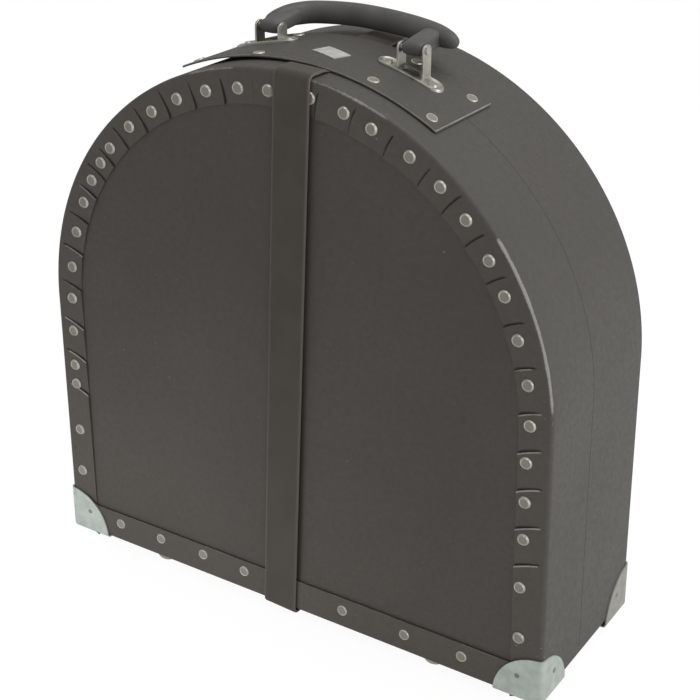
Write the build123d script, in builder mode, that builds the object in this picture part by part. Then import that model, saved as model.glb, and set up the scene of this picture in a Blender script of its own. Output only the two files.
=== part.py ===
# Snare drum case of vulcanised fibre: a D-shaped lid and base that meet at mid-depth, a folding
# grip on top and one webbing strap round both halves.
# X is across the case, Y runs back from its front face, Z is up from the surface it stands on.
# All sizes are in millimetres.

from build123d import *
from math import asin, cos, hypot, radians, sin, sqrt, tan
import os

# Case body
case_width = 430.0
side_height = 208.5
case_depth = 147.0
lid_depth = 62.5
foot_spread = 4.0
corner_radius = 8.0
board = 2.0
fold_radius = 3.0
seam_gap = 0.6
fit_gap = 0.3
seat_gap = 0.1

# Sleeve glued into the base, over which the lid slides
sleeve_wall = 1.6
sleeve_in_lid = 40.0
sleeve_in_base = 42.0

# Rim of cut tabs folded over each face
rim_width = 26.0
bottom_flap_width = 27.0
tab_rise = 1.2
tab_low_edge = 0.2
tab_slit = 0.4
tabs_on_arc = 23
tabs_on_side = 3
tab_length_on_side = 24.0

# Rivets along the rim
rivet_inset = 12.5
bottom_rivet_inset = 16.5
rivet_head_radius = 4.6
rivet_head_height = 1.7
rivet_sides = 8
rivet_taper = 40.0
rivet_shank_radius = 1.5
rivet_clinch = 0.8
side_flap_rivets = 3
bottom_rivet_pitch = 41.0
corner_rivet_margin = 12.0

# Domed glides under the case
glide_height = 8.0
glide_radius = 10.0
glide_sides = 12
glide_taper = 36.0
glide_from_middle = 127.0
glide_from_face = 13.0

# Pressed metal corners
corner_metal = 1.0
lobe_centre = 3.0
lobe_radius = 36.0
nail_radius = 2.4
nail_height = 0.9
nail_length = 5.0
nail_from_edges = 19.0

# Webbing strap, which leans a little
strap_width = 29.0
strap_thickness = 2.0
strap_x_at_bottom = -4.7
strap_lean = 2.8
strap_bend = 4.5

# Handle plate over the crown, riveted to the lid; the whole handle sits a little off the middle
handle_x = 6.5
plate_half_width = 107.0
plate_front = 52.0
plate_back = 27.0
plate_thickness = 2.0
plate_corner_radius = 5.0
plate_rivet_margin = 9.0
plate_inner_rivet_x = 47.0
plate_front_rivet_y = -40.0
plate_back_rivet_y = 14.0
tongue_margin = 4.0

# Handle mountings
mount_x = 58.5
mount_y = -3.0
mount_length = 47.0
mount_width = 15.0
mount_metal = 1.2
mount_rim_height = 0.9
mount_rim_width = 1.6
mount_window_length = 13.0
mount_window_width = 7.0
ear_spacing = 19.5
ear_width = 10.5
ear_metal = 1.5
pin_radius = 2.0
pin_head_radius = 3.2
pin_head_height = 1.0
pin_above_crown = 8.2
running_gap = 0.05
mount_rivet_radius = 3.4
mount_rivet_height = 1.5
mount_rivet_inset = 6.0

# Grip, lying back on the case
grip_lean_back = 84.0
grip_reach = 42.0
grip_end_reach = 26.0
grip_half_length = 75.0
grip_radius = 8.3
grip_end_rounding = 3.5
grip_sides = 12
lug_thickness = 9.5
lug_side_gap = 0.9

# Blank name plate
label_length = 23.0
label_width = 15.0
label_thickness = 0.5
label_x = 14.7
label_y = -27.0
label_turn = -17.0

# Buckle on the rear face
buckle_up = 255.0
buckle_length = 24.0
buckle_side_gap = 1.5
buckle_wire = 1.8
heel_bar_radius = 2.5
eye_gap = 0.3
roller_radius = 2.5
roller_bar_radius = 1.6
prong_radius = 1.4
prong_slot_width = 6.0
prong_slot_length = 17.0
tail_over_heel = 80.0
tail_hole_radius = 2.0
tail_hole_from_end = 18.0
keeper_from_tail_end = 35.0
keeper_width = 12.0
keeper_metal = 1.2

# Places worked out from the sizes above
floor_gap = glide_height
arc_radius = case_width / 2
crown = side_height + arc_radius
lean = radians(strap_lean)
strap_over = fit_gap + strap_thickness
eye_radius = heel_bar_radius + eye_gap + strap_thickness / 2
front_reach = strap_over
rear_reach = strap_over + 2 * eye_radius + strap_over
middle_y = (front_reach - rear_reach) / 2
front_y = middle_y - case_depth / 2
rear_y = middle_y + case_depth / 2
seam_y = front_y + lid_depth
plate_front_y = middle_y - plate_front
plate_back_y = middle_y + plate_back
tongue_y = plate_back_y - tongue_margin
strap_low_gap = fit_gap + strap_width / 2 * tan(lean)
pin_height = crown + pin_above_crown
handle_y = middle_y + mount_y
tall = 3 * crown

# The flat strap is highest over the round crown at its right edge
strap_crown = side_height * cos(lean) - strap_x_at_bottom * sin(lean) + arc_radius
strap_edge_x = strap_x_at_bottom + strap_crown * sin(lean) + strap_width / 2 * cos(lean)
strap_edge_height = (strap_crown + strap_over) * cos(lean) - strap_width / 2 * sin(lean)

# The handle plate bows over the strap and meets the band at its ends
plate_rise = strap_edge_height - crown + strap_edge_x**2 / (2 * arc_radius) + 2 * fit_gap
plate_reach = plate_half_width + handle_x
plate_end_height = sqrt(arc_radius**2 - plate_reach**2)
plate_sagitta = arc_radius + plate_rise - plate_end_height - seat_gap
plate_radius = (plate_reach**2 + plate_sagitta**2) / (2 * plate_sagitta)
plate_centre = crown + plate_rise - plate_radius

os.makedirs("parts", exist_ok=True)


def write_part(piece, name):
    """Labels a finished piece and writes it under its name."""
    piece.part.label = name
    export_step(piece.part, f"parts/{name}.step")


def face_plane(y):
    """The upright plane at depth y: its own axes are X and the height over the case's bottom."""
    return Plane(origin=(0, y, floor_gap), x_dir=(1, 0, 0), z_dir=(0, -1, 0))


def draw_outline(inset, bottom_inset=None):
    """Draws the D of the case in the open sketch, drawn in by inset."""
    low = inset if bottom_inset is None else bottom_inset
    half = arc_radius - inset
    foot = half + foot_spread
    rounding = corner_radius - inset
    with BuildSketch() as outline:
        with BuildLine():
            Line((-foot, low), (foot, low))
            Line((foot, low), (half, side_height))
            ThreePointArc((half, side_height), (0, side_height + half), (-half, side_height))
            Line((-half, side_height), (-foot, low))
        make_face()
        if rounding > board:
            fillet(outline.vertices().group_by(Axis.Y)[0], rounding)
    add(outline.sketch)


def draw_sector(inner, outer, half_angle, turn=0.0, centre=side_height):
    """Draws the top stretch of a ring in the open sketch, half_angle to each side of turn."""
    reach = 2 * outer
    right = reach * tan(turn + half_angle)
    left = reach * tan(turn - half_angle)
    with BuildSketch() as sector:
        with Locations((0, centre)):
            Circle(outer)
            Circle(inner, mode=Mode.SUBTRACT)
        with BuildLine():
            Polyline((0, centre), (right, centre + reach), (left, centre + reach), (0, centre))
        make_face(mode=Mode.INTERSECT)
    add(sector.sketch)


# Shells

def make_shell(open_y, depth):
    """Band of one half; its face looks towards -Y, open_y is its open edge."""
    with BuildPart() as shell:
        with BuildSketch(face_plane(open_y)):
            draw_outline(0)
        extrude(amount=depth - tab_rise)
        chamfer(shell.edges().group_by(Axis.Y)[0], fold_radius - tab_rise)
        with BuildSketch(face_plane(open_y)):
            draw_outline(board)
        extrude(amount=depth, mode=Mode.SUBTRACT)
    return shell


def make_panel(face):
    """Flat D-shaped board behind the rim of the half whose front plane is face."""
    with BuildPart() as panel:
        with BuildSketch(face_plane(face + tab_rise + 2 * board)):
            draw_outline(board + fit_gap)
        extrude(amount=board)
    return panel


def rim_point(station, inset):
    """Point on the rim, station being the angle on the arc or a height on a straight side."""
    kind, value = station
    if kind == "arc":
        radius = arc_radius - inset
        return (radius * cos(radians(value)), side_height + radius * sin(radians(value)))
    side = 1 if kind == "right" else -1
    lift = foot_spread * (1 - value / side_height)
    return (side * (arc_radius - inset + lift), value)


def tab_stations():
    """The lower and the upper end of each cut tab; the upper one overlaps the next tab."""
    pairs = []
    for n in range(tabs_on_side):
        top = side_height - n * tab_length_on_side
        for side in ("right", "left"):
            pairs.append(((side, top - tab_length_on_side), (side, top)))
    step = 180 / tabs_on_arc
    for n in range(tabs_on_arc):
        ends = (("arc", n * step), ("arc", (n + 1) * step))
        pairs.append(ends if n < tabs_on_arc / 2 else ends[::-1])
    return pairs


def make_tab(start, end, seat):
    """One cut tab: low at its start, raised at its end."""
    a = Vector(*rim_point(start, fold_radius))
    b = Vector(*rim_point(start, rim_width))
    c = Vector(*rim_point(end, rim_width))
    d = Vector(*rim_point(end, fold_radius))
    slit = (d - a).normalized() * tab_slit / 2
    corners = [a + slit, b + slit, c - slit, d - slit]
    low = Vector(corners[0].X, seat - tab_low_edge, corners[0].Y + floor_gap)
    low_in = Vector(corners[1].X, seat - tab_low_edge, corners[1].Y + floor_gap)
    high = Vector(corners[3].X, seat - tab_rise, corners[3].Y + floor_gap)
    across = (low_in - low).cross(high - low)
    outward = across if across.Y < 0 else across * -1
    with BuildPart() as tab:
        with BuildSketch(face_plane(seat)):
            Polygon(*[(p.X, p.Y) for p in corners], align=None)
        extrude(amount=tab_rise)
        split(bisect_by=Plane(origin=low, z_dir=outward), keep=Keep.BOTTOM)
    return tab


def make_tabs(face):
    """Folded rim with its cut tabs, each with one edge raised over the next, and its long flaps."""
    seat = face + tab_rise
    flap_top = side_height - tabs_on_side * tab_length_on_side
    cut_tabs = [make_tab(start, end, seat) for start, end in tab_stations()]
    with BuildPart() as tabs:
        for tab in cut_tabs:
            add(tab.part)
        with BuildSketch(face_plane(seat)):
            draw_outline(fold_radius)
            with BuildLine():
                inner = rim_point(("right", flap_top), rim_width)
                foot = arc_radius - rim_width + foot_spread
                Polyline(
                    (-foot, bottom_flap_width),
                    (foot, bottom_flap_width),
                    inner,
                    (case_width, flap_top),
                    (case_width, crown),
                    (-case_width, crown),
                    (-case_width, flap_top),
                    (-inner[0], flap_top),
                    (-foot, bottom_flap_width),
                )
            make_face(mode=Mode.SUBTRACT)
        extrude(amount=tab_rise / 2)
        with BuildSketch(face_plane(seat + board)):
            draw_outline(board + seat_gap)
        extrude(amount=board)
        with BuildSketch(face_plane(seat + board)):
            draw_outline(rim_width, bottom_flap_width)
        extrude(amount=board, mode=Mode.SUBTRACT)
    return tabs


def rim_rivet_places():
    """Middle of each rivet on one face."""
    places = []
    for start, end in tab_stations():
        a = rim_point(start, rivet_inset)
        b = rim_point(end, rivet_inset)
        places.append(((a[0] + b[0]) / 2, (a[1] + b[1]) / 2))
    flap_top = side_height - tabs_on_side * tab_length_on_side
    lowest = lobe_centre + lobe_radius + corner_rivet_margin
    for n in range(side_flap_rivets):
        height = lowest + n * (flap_top - lowest) / side_flap_rivets
        x, z = rim_point(("right", height), rivet_inset)
        places += [(x, z), (-x, z)]
    reach = arc_radius - lobe_centre - lobe_radius - corner_rivet_margin
    count = int(2 * reach / bottom_rivet_pitch) // 2
    for n in range(-count, count + 1):
        places.append((n * 2 * reach / (2 * count + 1), bottom_rivet_inset))
    return [p for p in places if not under_strap(p)]


def under_strap(place):
    """Whether a rivet's head would lie under the strap."""
    centre = strap_x_at_bottom + place[1] * tan(lean)
    return abs(place[0] - centre) < strap_width / 2 + rivet_head_radius + fit_gap


def make_rivet(length, head_radius=rivet_head_radius, height=rivet_head_height):
    """A rivet standing on the origin, its tapered head up and its shank down, with few faces."""
    with BuildPart() as rivet:
        with BuildSketch():
            RegularPolygon(head_radius, rivet_sides)
        extrude(amount=height, taper=rivet_taper)
        with BuildSketch():
            RegularPolygon(rivet_shank_radius, 4)
        extrude(amount=-length)
    return rivet


def make_rim_rivets(face):
    """All rivets of one face, their shanks through the tab, the rim and the panel."""
    rivet = make_rivet(tab_rise / 2 + 2 * board + rivet_clinch)
    with BuildPart() as rivets:
        for x, z in rim_rivet_places():
            seat = Plane(origin=(x, face + tab_rise / 2, z + floor_gap), z_dir=(0, -1, 0))
            add(seat * rivet.part)
    return rivets


def make_glides(face):
    """Two domed glides under one half, flat where they stand."""
    with BuildPart() as glides:
        for side in (-1, 1):
            centre = (side * glide_from_middle, face + glide_from_face, glide_height)
            with BuildSketch(Plane(origin=centre)):
                RegularPolygon(glide_radius, glide_sides)
        extrude(amount=-glide_height, taper=glide_taper)
    return glides


def make_corner(face, side):
    """Pressed cap over one bottom corner of a half, cut to a lobe on each of its three sides."""
    reach = lobe_centre + lobe_radius
    corner = Vector(side * (arc_radius + foot_spread), face, floor_gap)
    centre = corner + Vector(-side * lobe_centre, lobe_centre, lobe_centre)
    ball = hypot(lobe_centre, lobe_radius)
    outer = seat_gap + corner_metal
    with BuildPart() as cap:
        with BuildSketch(face_plane(face + 2 * reach)):
            draw_outline(-outer)
        extrude(amount=2 * reach + outer)
        chamfer(cap.edges().group_by(Axis.Y)[0], corner_metal)
        with BuildSketch(face_plane(face + 2 * reach)):
            draw_outline(-seat_gap)
        extrude(amount=2 * reach + seat_gap, mode=Mode.SUBTRACT)
        with Locations(centre):
            Sphere(ball, mode=Mode.INTERSECT)
    return cap


def nail_places(face, side):
    """Seat and outward direction of the nail in each lobe of a corner cap."""
    out = seat_gap + corner_metal
    foot = arc_radius + foot_spread
    x_in = side * (foot - nail_from_edges)
    nail_up = floor_gap + nail_from_edges
    nail_sink = foot_spread * (nail_up - floor_gap) / side_height
    return [
        (Vector(x_in, face - out, nail_up), Vector(0, -1, 0)),
        (Vector(side * (foot + out - nail_sink), face + nail_from_edges, nail_up), Vector(side, 0, 0)),
    ]


def make_nails(face):
    """One round-headed nail in the face lobe and side lobe of both corner caps."""
    nail = make_rivet(nail_length, nail_radius, nail_height)
    with BuildPart() as nails:
        for side in (-1, 1):
            for seat, outward in nail_places(face, side):
                add(Plane(origin=seat, z_dir=outward) * nail.part)
    return nails


lid_shell = make_shell(seam_y, lid_depth)
lid_panel = make_panel(front_y)
lid_tabs = make_tabs(front_y)
lid_rivets = make_rim_rivets(front_y)
lid_glides = make_glides(front_y)
lid_corner_right = make_corner(front_y, 1)
lid_corner_left = make_corner(front_y, -1)
lid_corner_nails = make_nails(front_y)

# The lid's tongue runs back under the handle plate, so that both rows of rivets hold the plate
tongue_angle = asin((plate_half_width - tongue_margin) / arc_radius)
notch_angle = asin((plate_half_width - tongue_margin + seam_gap) / arc_radius)
handle_turn = asin(handle_x / arc_radius)
with BuildPart() as lid_band:
    add(lid_shell.part)
    with BuildSketch(face_plane(tongue_y)):
        draw_sector(arc_radius - board, arc_radius, tongue_angle, handle_turn)
    extrude(amount=tongue_y - seam_y + board)

# The base is the lid's mirror image, deeper, with a notch for the tongue
base_depth = case_depth - lid_depth - seam_gap
mirror_plane = Plane(origin=(0, middle_y, 0), z_dir=(0, 1, 0))
base_seam_y = seam_y + seam_gap
base_open_mirrored = 2 * middle_y - base_seam_y
base_shell = make_shell(base_open_mirrored, base_depth)
with BuildPart() as base_band:
    mirror(base_shell.part, about=mirror_plane)
    with BuildSketch(face_plane(tongue_y + seam_gap)):
        draw_sector(arc_radius - board - seat_gap, arc_radius + board, notch_angle, handle_turn)
    extrude(amount=tongue_y + 2 * seam_gap - base_seam_y + board, mode=Mode.SUBTRACT)


def mirrored(piece):
    """The same piece on the other half of the case."""
    with BuildPart() as other:
        mirror(piece.part, about=mirror_plane)
    return other


base_panel = mirrored(lid_panel)
base_tabs = mirrored(lid_tabs)
base_rivets = mirrored(lid_rivets)
base_glides = mirrored(lid_glides)
base_corner_right = mirrored(lid_corner_right)
base_corner_left = mirrored(lid_corner_left)
base_corner_nails = mirrored(lid_corner_nails)

with BuildPart() as sleeve:
    with BuildSketch(face_plane(base_seam_y + sleeve_in_base)):
        draw_outline(board + fit_gap)
    extrude(amount=sleeve_in_base + seam_gap + sleeve_in_lid)
    with BuildSketch(face_plane(base_seam_y + sleeve_in_base)):
        draw_outline(board + fit_gap + sleeve_wall)
    extrude(amount=sleeve_in_base + seam_gap + sleeve_in_lid, mode=Mode.SUBTRACT)

# Handle plate

with BuildPart() as handle_plate:
    with BuildSketch(face_plane(plate_back_y)):
        plate_angle = asin((plate_reach + plate_thickness) / plate_radius)
        draw_sector(plate_radius, plate_radius + plate_thickness, plate_angle, 0.0, plate_centre)
    extrude(amount=plate_back_y - plate_front_y)
    with BuildSketch(Plane.XY):
        with Locations((handle_x, (plate_front_y + plate_back_y) / 2)):
            RectangleRounded(2 * plate_half_width, plate_back_y - plate_front_y, plate_corner_radius)
    extrude(amount=tall, mode=Mode.INTERSECT)


def plate_seat(x, y, lift=0.0):
    """Plane on top of the handle plate at x and y, facing straight out of it."""
    radius = plate_radius + plate_thickness
    angle = asin(x / radius)
    outward = Vector(sin(angle), 0, cos(angle))
    base = Vector(0, y, floor_gap + plate_centre) + outward * (radius + lift)
    return Plane(origin=base, x_dir=(cos(angle), 0, -sin(angle)), z_dir=outward)


def band_gap_below_plate(x):
    """Distance from the plate's top down to the inside of the lid's band at x."""
    top = plate_centre + sqrt((plate_radius + plate_thickness) ** 2 - x**2)
    inside = side_height + sqrt((arc_radius - board) ** 2 - x**2)
    return (top - inside) * cos(asin(x / plate_radius))


plate_rivet_x = plate_half_width - plate_rivet_margin
with BuildPart() as handle_plate_rivets:
    for from_middle in (-plate_rivet_x, -plate_inner_rivet_x, plate_inner_rivet_x, plate_rivet_x):
        x = handle_x + from_middle
        plate_rivet = make_rivet(band_gap_below_plate(x))
        for y in (plate_front_rivet_y, plate_back_rivet_y):
            add(plate_seat(x, middle_y + y) * plate_rivet.part)

with BuildPart() as name_plate:
    with BuildSketch(plate_seat(label_x, middle_y + label_y, seat_gap)):
        Rectangle(label_length, label_width, rotation=label_turn)
    extrude(amount=label_thickness)

# Handle mountings

mount_seat_radius = plate_radius + plate_thickness + seat_gap


def draw_ring(inner, outer):
    """Draws a ring about the handle plate's centre in the open sketch."""
    with Locations((0, plate_centre)):
        Circle(outer)
        Circle(inner, mode=Mode.SUBTRACT)


def make_mount_plate(middle_x, length, width, low, high):
    """Round-ended plate bent to the handle plate, from low to high over it."""
    with BuildPart() as plate:
        with BuildSketch(Plane.XY.offset(floor_gap + side_height)):
            with Locations((middle_x, handle_y)):
                SlotOverall(length, width)
        extrude(amount=tall)
        with BuildSketch(face_plane(handle_y + width)):
            draw_ring(mount_seat_radius + low, mount_seat_radius + high)
        extrude(amount=2 * width, mode=Mode.INTERSECT)
    return plate


def make_mount(middle_x):
    """One mounting: a rimmed base plate with a window, and two ears that hold a pin."""
    top = mount_metal + mount_rim_height
    dish_length = mount_length - 2 * mount_rim_width
    dish_width = mount_width - 2 * mount_rim_width
    base_plate = make_mount_plate(middle_x, mount_length, mount_width, 0, top)
    dish = make_mount_plate(middle_x, dish_length, dish_width, mount_metal, top + mount_rim_height)
    with BuildPart() as mount:
        add(base_plate.part)
        add(dish.part, mode=Mode.SUBTRACT)
        with BuildSketch(Plane.XY.offset(floor_gap + side_height)):
            with Locations((middle_x, handle_y)):
                Rectangle(mount_window_length, mount_window_width)
        extrude(amount=tall, mode=Mode.SUBTRACT)
        for ear_x in (middle_x - ear_spacing / 2, middle_x + ear_spacing / 2):
            far_x = abs(ear_x) + ear_metal / 2
            foot = plate_centre + sqrt((mount_seat_radius + mount_metal / 2) ** 2 - far_x**2)
            start = (ear_x - ear_metal / 2, handle_y, floor_gap)
            with BuildSketch(Plane(origin=start, x_dir=(0, 1, 0), z_dir=(1, 0, 0))):
                with Locations((0, pin_height)):
                    Circle(ear_width / 2)
                with Locations((0, (pin_height + foot) / 2)):
                    Rectangle(ear_width, pin_height - foot)
                with Locations((0, pin_height)):
                    Circle(pin_radius, mode=Mode.SUBTRACT)
            extrude(amount=ear_metal)
    return mount


handle_mount_right = make_mount(handle_x + mount_x)
handle_mount_left = make_mount(handle_x - mount_x)

# Rivets through both ends of each mounting, and the pins that the grip turns on
mount_shank = seat_gap + mount_metal + plate_thickness
mount_rivet = make_rivet(mount_shank, mount_rivet_radius, mount_rivet_height)
with BuildPart() as handle_mount_rivets:
    end_reach = mount_length / 2 - mount_rivet_inset
    for side in (-1, 1):
        for end in (-1, 1):
            seat_x = handle_x + side * mount_x + end * end_reach
            seat_plane = plate_seat(seat_x, handle_y, seat_gap + mount_metal)
            add(seat_plane * mount_rivet.part)

pin_reach = ear_spacing / 2 + ear_metal / 2
pin_z = floor_gap + pin_height
with BuildPart() as handle_pins:
    for side in (-1, 1):
        start = Plane(
            origin=(handle_x + side * mount_x - pin_reach - pin_head_height, handle_y, pin_z),
            x_dir=(0, 1, 0),
            z_dir=(1, 0, 0),
        )
        with BuildSketch(start):
            RegularPolygon(pin_head_radius, rivet_sides)
        extrude(amount=pin_head_height)
        with BuildSketch(start):
            Circle(pin_radius)
        extrude(amount=2 * (pin_reach + pin_head_height))
        with BuildSketch(start.offset(2 * pin_reach + pin_head_height)):
            RegularPolygon(pin_head_radius, rivet_sides)
        extrude(amount=pin_head_height)

# Grip, drawn in its own plane: across, and out from the pins

lean_back = radians(grip_lean_back)
pivot = Vector(handle_x, handle_y, pin_z)
grip_plane = Plane(origin=pivot, x_dir=(1, 0, 0), z_dir=(0, -cos(lean_back), sin(lean_back)))
knuckle_length = ear_spacing - ear_metal - 2 * lug_side_gap
with BuildPart() as grip:
    with BuildLine(grip_plane) as bar_line:
        ThreePointArc(
            (-grip_half_length, grip_end_reach), (0, grip_reach), (grip_half_length, grip_end_reach)
        )
    bar_start = Plane(origin=bar_line.line @ 0, x_dir=grip_plane.z_dir, z_dir=bar_line.line % 0)
    with BuildSketch(bar_start):
        RegularPolygon(grip_radius, grip_sides)
    sweep()
    ends = grip.faces().sort_by(Axis.X)
    chamfer(ends[0].edges() + ends[-1].edges(), grip_end_rounding)
    for side in (-1, 1):
        with BuildSketch(grip_plane.offset(-lug_thickness / 2)):
            with Locations((side * mount_x, grip_end_reach / 2)):
                Rectangle(knuckle_length, grip_end_reach)
        extrude(amount=lug_thickness)
        knuckle_start = pivot + Vector(side * mount_x - knuckle_length / 2, 0, 0)
        with BuildSketch(Plane(origin=knuckle_start, x_dir=(0, 1, 0), z_dir=(1, 0, 0))):
            Circle(lug_thickness / 2)
        extrude(amount=knuckle_length)
        with BuildSketch(Plane(origin=knuckle_start, x_dir=(0, 1, 0), z_dir=(1, 0, 0))):
            Circle(pin_radius + running_gap)
        extrude(amount=knuckle_length, mode=Mode.SUBTRACT)

# Strap: a front stretch that stays with the lid, and two rear stretches buckled together

strap_origin = Vector(strap_x_at_bottom, 0, floor_gap)
strap_plane = Plane(origin=strap_origin, x_dir=(0, 1, 0), z_dir=(cos(lean), 0, -sin(lean)))
strap_up = Vector(sin(lean), 0, cos(lean))
strap_top = strap_crown + fit_gap + strap_thickness / 2
strap_bottom = -strap_low_gap - strap_thickness / 2
strap_front_y = front_y - fit_gap - strap_thickness / 2
strap_rear_y = rear_y + fit_gap + strap_thickness / 2


def sweep_strap(path_edge):
    """Sweeps the flat section of the webbing along a finished line."""
    start = Plane(origin=path_edge @ 0, x_dir=strap_plane.z_dir, z_dir=path_edge % 0)
    with BuildSketch(start) as webbing:
        Rectangle(strap_width, strap_thickness)
    sweep(sections=webbing.sketch, path=path_edge)


def on_strap(y, up, across=0.0):
    """Point at depth y, at the height up along the strap and at across from its middle."""
    return strap_plane.from_local_coords((y, up, across))


def through_strap(up):
    """Plane on the rear run of the strap at the height up, looking along -Y."""
    return Plane(origin=on_strap(heel_y, up), x_dir=strap_plane.z_dir, z_dir=(0, -1, 0))


with BuildPart() as strap_front:
    with BuildLine(strap_plane) as front_line:
        FilletPolyline(
            (tongue_y, strap_top),
            (strap_front_y, strap_top),
            (strap_front_y, strap_bottom),
            (seam_y, strap_bottom),
            radius=strap_bend,
        )
    sweep_strap(front_line.line)

heel_y = strap_rear_y + eye_radius
heel_up = buckle_up + buckle_length
strap_split_y = tongue_y + seam_gap
with BuildPart() as strap_rear:
    with BuildLine(strap_plane) as rear_line:
        FilletPolyline(
            (strap_split_y, strap_top),
            (strap_rear_y, strap_top),
            (strap_rear_y, heel_up),
            radius=strap_bend,
        )
        CenterArc((heel_y, heel_up), eye_radius, 180, 250)
    sweep_strap(rear_line.line)
    with BuildSketch(through_strap(heel_up)):
        Rectangle(prong_slot_width, 4 * eye_radius)
    extrude(amount=3 * eye_radius, both=True, mode=Mode.SUBTRACT)

over_heel_y = heel_y + eye_radius + strap_thickness + fit_gap
on_strap_y = strap_rear_y + strap_thickness + fit_gap
roller_up = buckle_up
with BuildPart() as strap_tail:
    with BuildLine(strap_plane) as tail_line:
        FilletPolyline(
            (base_seam_y, strap_bottom),
            (strap_rear_y, strap_bottom),
            (strap_rear_y, roller_up + 3),
            (over_heel_y, heel_up - 3),
            (over_heel_y, heel_up + 4),
            (on_strap_y, heel_up + 24),
            (on_strap_y, heel_up + tail_over_heel),
            radius=strap_bend,
        )
    sweep_strap(tail_line.line)
    with BuildSketch(through_strap(heel_up - prong_slot_length / 2)):
        SlotOverall(prong_slot_length, prong_slot_width, rotation=90)
    extrude(amount=3 * eye_radius, both=True, mode=Mode.SUBTRACT)
    with BuildSketch(through_strap(heel_up + tail_over_heel - tail_hole_from_end)):
        Circle(tail_hole_radius)
    extrude(amount=3 * eye_radius, both=True, mode=Mode.SUBTRACT)

# Buckle

wire_side = strap_width / 2 + buckle_side_gap + buckle_wire
prong_start = heel_bar_radius + running_gap + prong_radius / 2


def across_plane(y, up, across):
    """Plane square to the strap's width, starting at across."""
    return Plane(origin=on_strap(y, up, across), x_dir=(0, 1, 0), z_dir=strap_plane.z_dir)


def bar(radius, y, up, start, length):
    """Round bar across the strap in the open part."""
    with BuildSketch(across_plane(y, up, start)) as section:
        Circle(radius)
    extrude(section.sketch, amount=length)


with BuildPart() as buckle_frame:
    bar(heel_bar_radius, heel_y, heel_up, -wire_side, 2 * wire_side)
    bar(roller_bar_radius, heel_y, roller_up, -wire_side, 2 * wire_side)
    for side in (-1, 1):
        foot = on_strap(heel_y, roller_up - heel_bar_radius, side * wire_side)
        with BuildSketch(Plane(origin=foot, x_dir=(0, 1, 0), z_dir=strap_up)):
            Circle(buckle_wire)
        extrude(amount=heel_up - roller_up + 2 * heel_bar_radius)

roller_half = strap_width / 2
with BuildPart() as buckle_roller:
    with BuildSketch(across_plane(heel_y, roller_up, -roller_half)):
        Circle(roller_radius)
        Circle(roller_bar_radius + running_gap, mode=Mode.SUBTRACT)
    extrude(amount=2 * roller_half)

prong_hub = prong_slot_width - 2 * fit_gap
prong_rest = heel_y + roller_radius + fit_gap + prong_radius
with BuildPart() as buckle_prong:
    with BuildSketch(across_plane(heel_y, heel_up, -prong_hub / 2)):
        Circle(heel_bar_radius + running_gap + prong_radius)
        Circle(heel_bar_radius + running_gap, mode=Mode.SUBTRACT)
    extrude(amount=prong_hub)
    with BuildLine(strap_plane) as prong_line:
        Line(
            (heel_y + prong_start, heel_up - prong_start),
            (prong_rest, roller_up - roller_radius),
        )
    with BuildSketch(Plane(origin=prong_line.line @ 0, z_dir=prong_line.line % 0)):
        Circle(prong_radius)
    sweep()

keeper_middle = heel_up + tail_over_heel - keeper_from_tail_end
keeper_low = strap_rear_y - strap_thickness / 2 - fit_gap
keeper_high = on_strap_y + strap_thickness / 2 + fit_gap
with BuildPart() as strap_keeper:
    keeper_plane = Plane(
        origin=on_strap((keeper_low + keeper_high) / 2, keeper_middle - keeper_width / 2, 0),
        x_dir=(0, 1, 0),
        z_dir=strap_up,
    )
    with BuildSketch(keeper_plane):
        Rectangle(keeper_high - keeper_low + 2 * keeper_metal, strap_width + 2 * (fit_gap + keeper_metal))
        Rectangle(keeper_high - keeper_low, strap_width + 2 * fit_gap, mode=Mode.SUBTRACT)
    extrude(amount=keeper_width)

pieces = {
    "lid_band": lid_band,
    "lid_panel": lid_panel,
    "lid_tabs": lid_tabs,
    "lid_rivets": lid_rivets,
    "lid_glides": lid_glides,
    "lid_corner_right": lid_corner_right,
    "lid_corner_left": lid_corner_left,
    "lid_corner_nails": lid_corner_nails,
    "base_band": base_band,
    "base_panel": base_panel,
    "base_tabs": base_tabs,
    "base_rivets": base_rivets,
    "base_glides": base_glides,
    "base_corner_right": base_corner_right,
    "base_corner_left": base_corner_left,
    "base_corner_nails": base_corner_nails,
    "sleeve": sleeve,
    "handle_plate": handle_plate,
    "handle_plate_rivets": handle_plate_rivets,
    "handle_mount_right": handle_mount_right,
    "handle_mount_left": handle_mount_left,
    "handle_mount_rivets": handle_mount_rivets,
    "handle_pins": handle_pins,
    "grip": grip,
    "name_plate": name_plate,
    "strap_front": strap_front,
    "strap_rear": strap_rear,
    "strap_tail": strap_tail,
    "strap_keeper": strap_keeper,
    "buckle_frame": buckle_frame,
    "buckle_roller": buckle_roller,
    "buckle_prong": buckle_prong,
}
for piece_name, piece in pieces.items():
    write_part(piece, piece_name)
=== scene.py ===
import math

import bmesh
import bpy
from bpy.props import FloatProperty, FloatVectorProperty, IntProperty, PointerProperty
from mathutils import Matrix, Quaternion, Vector, noise


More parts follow.
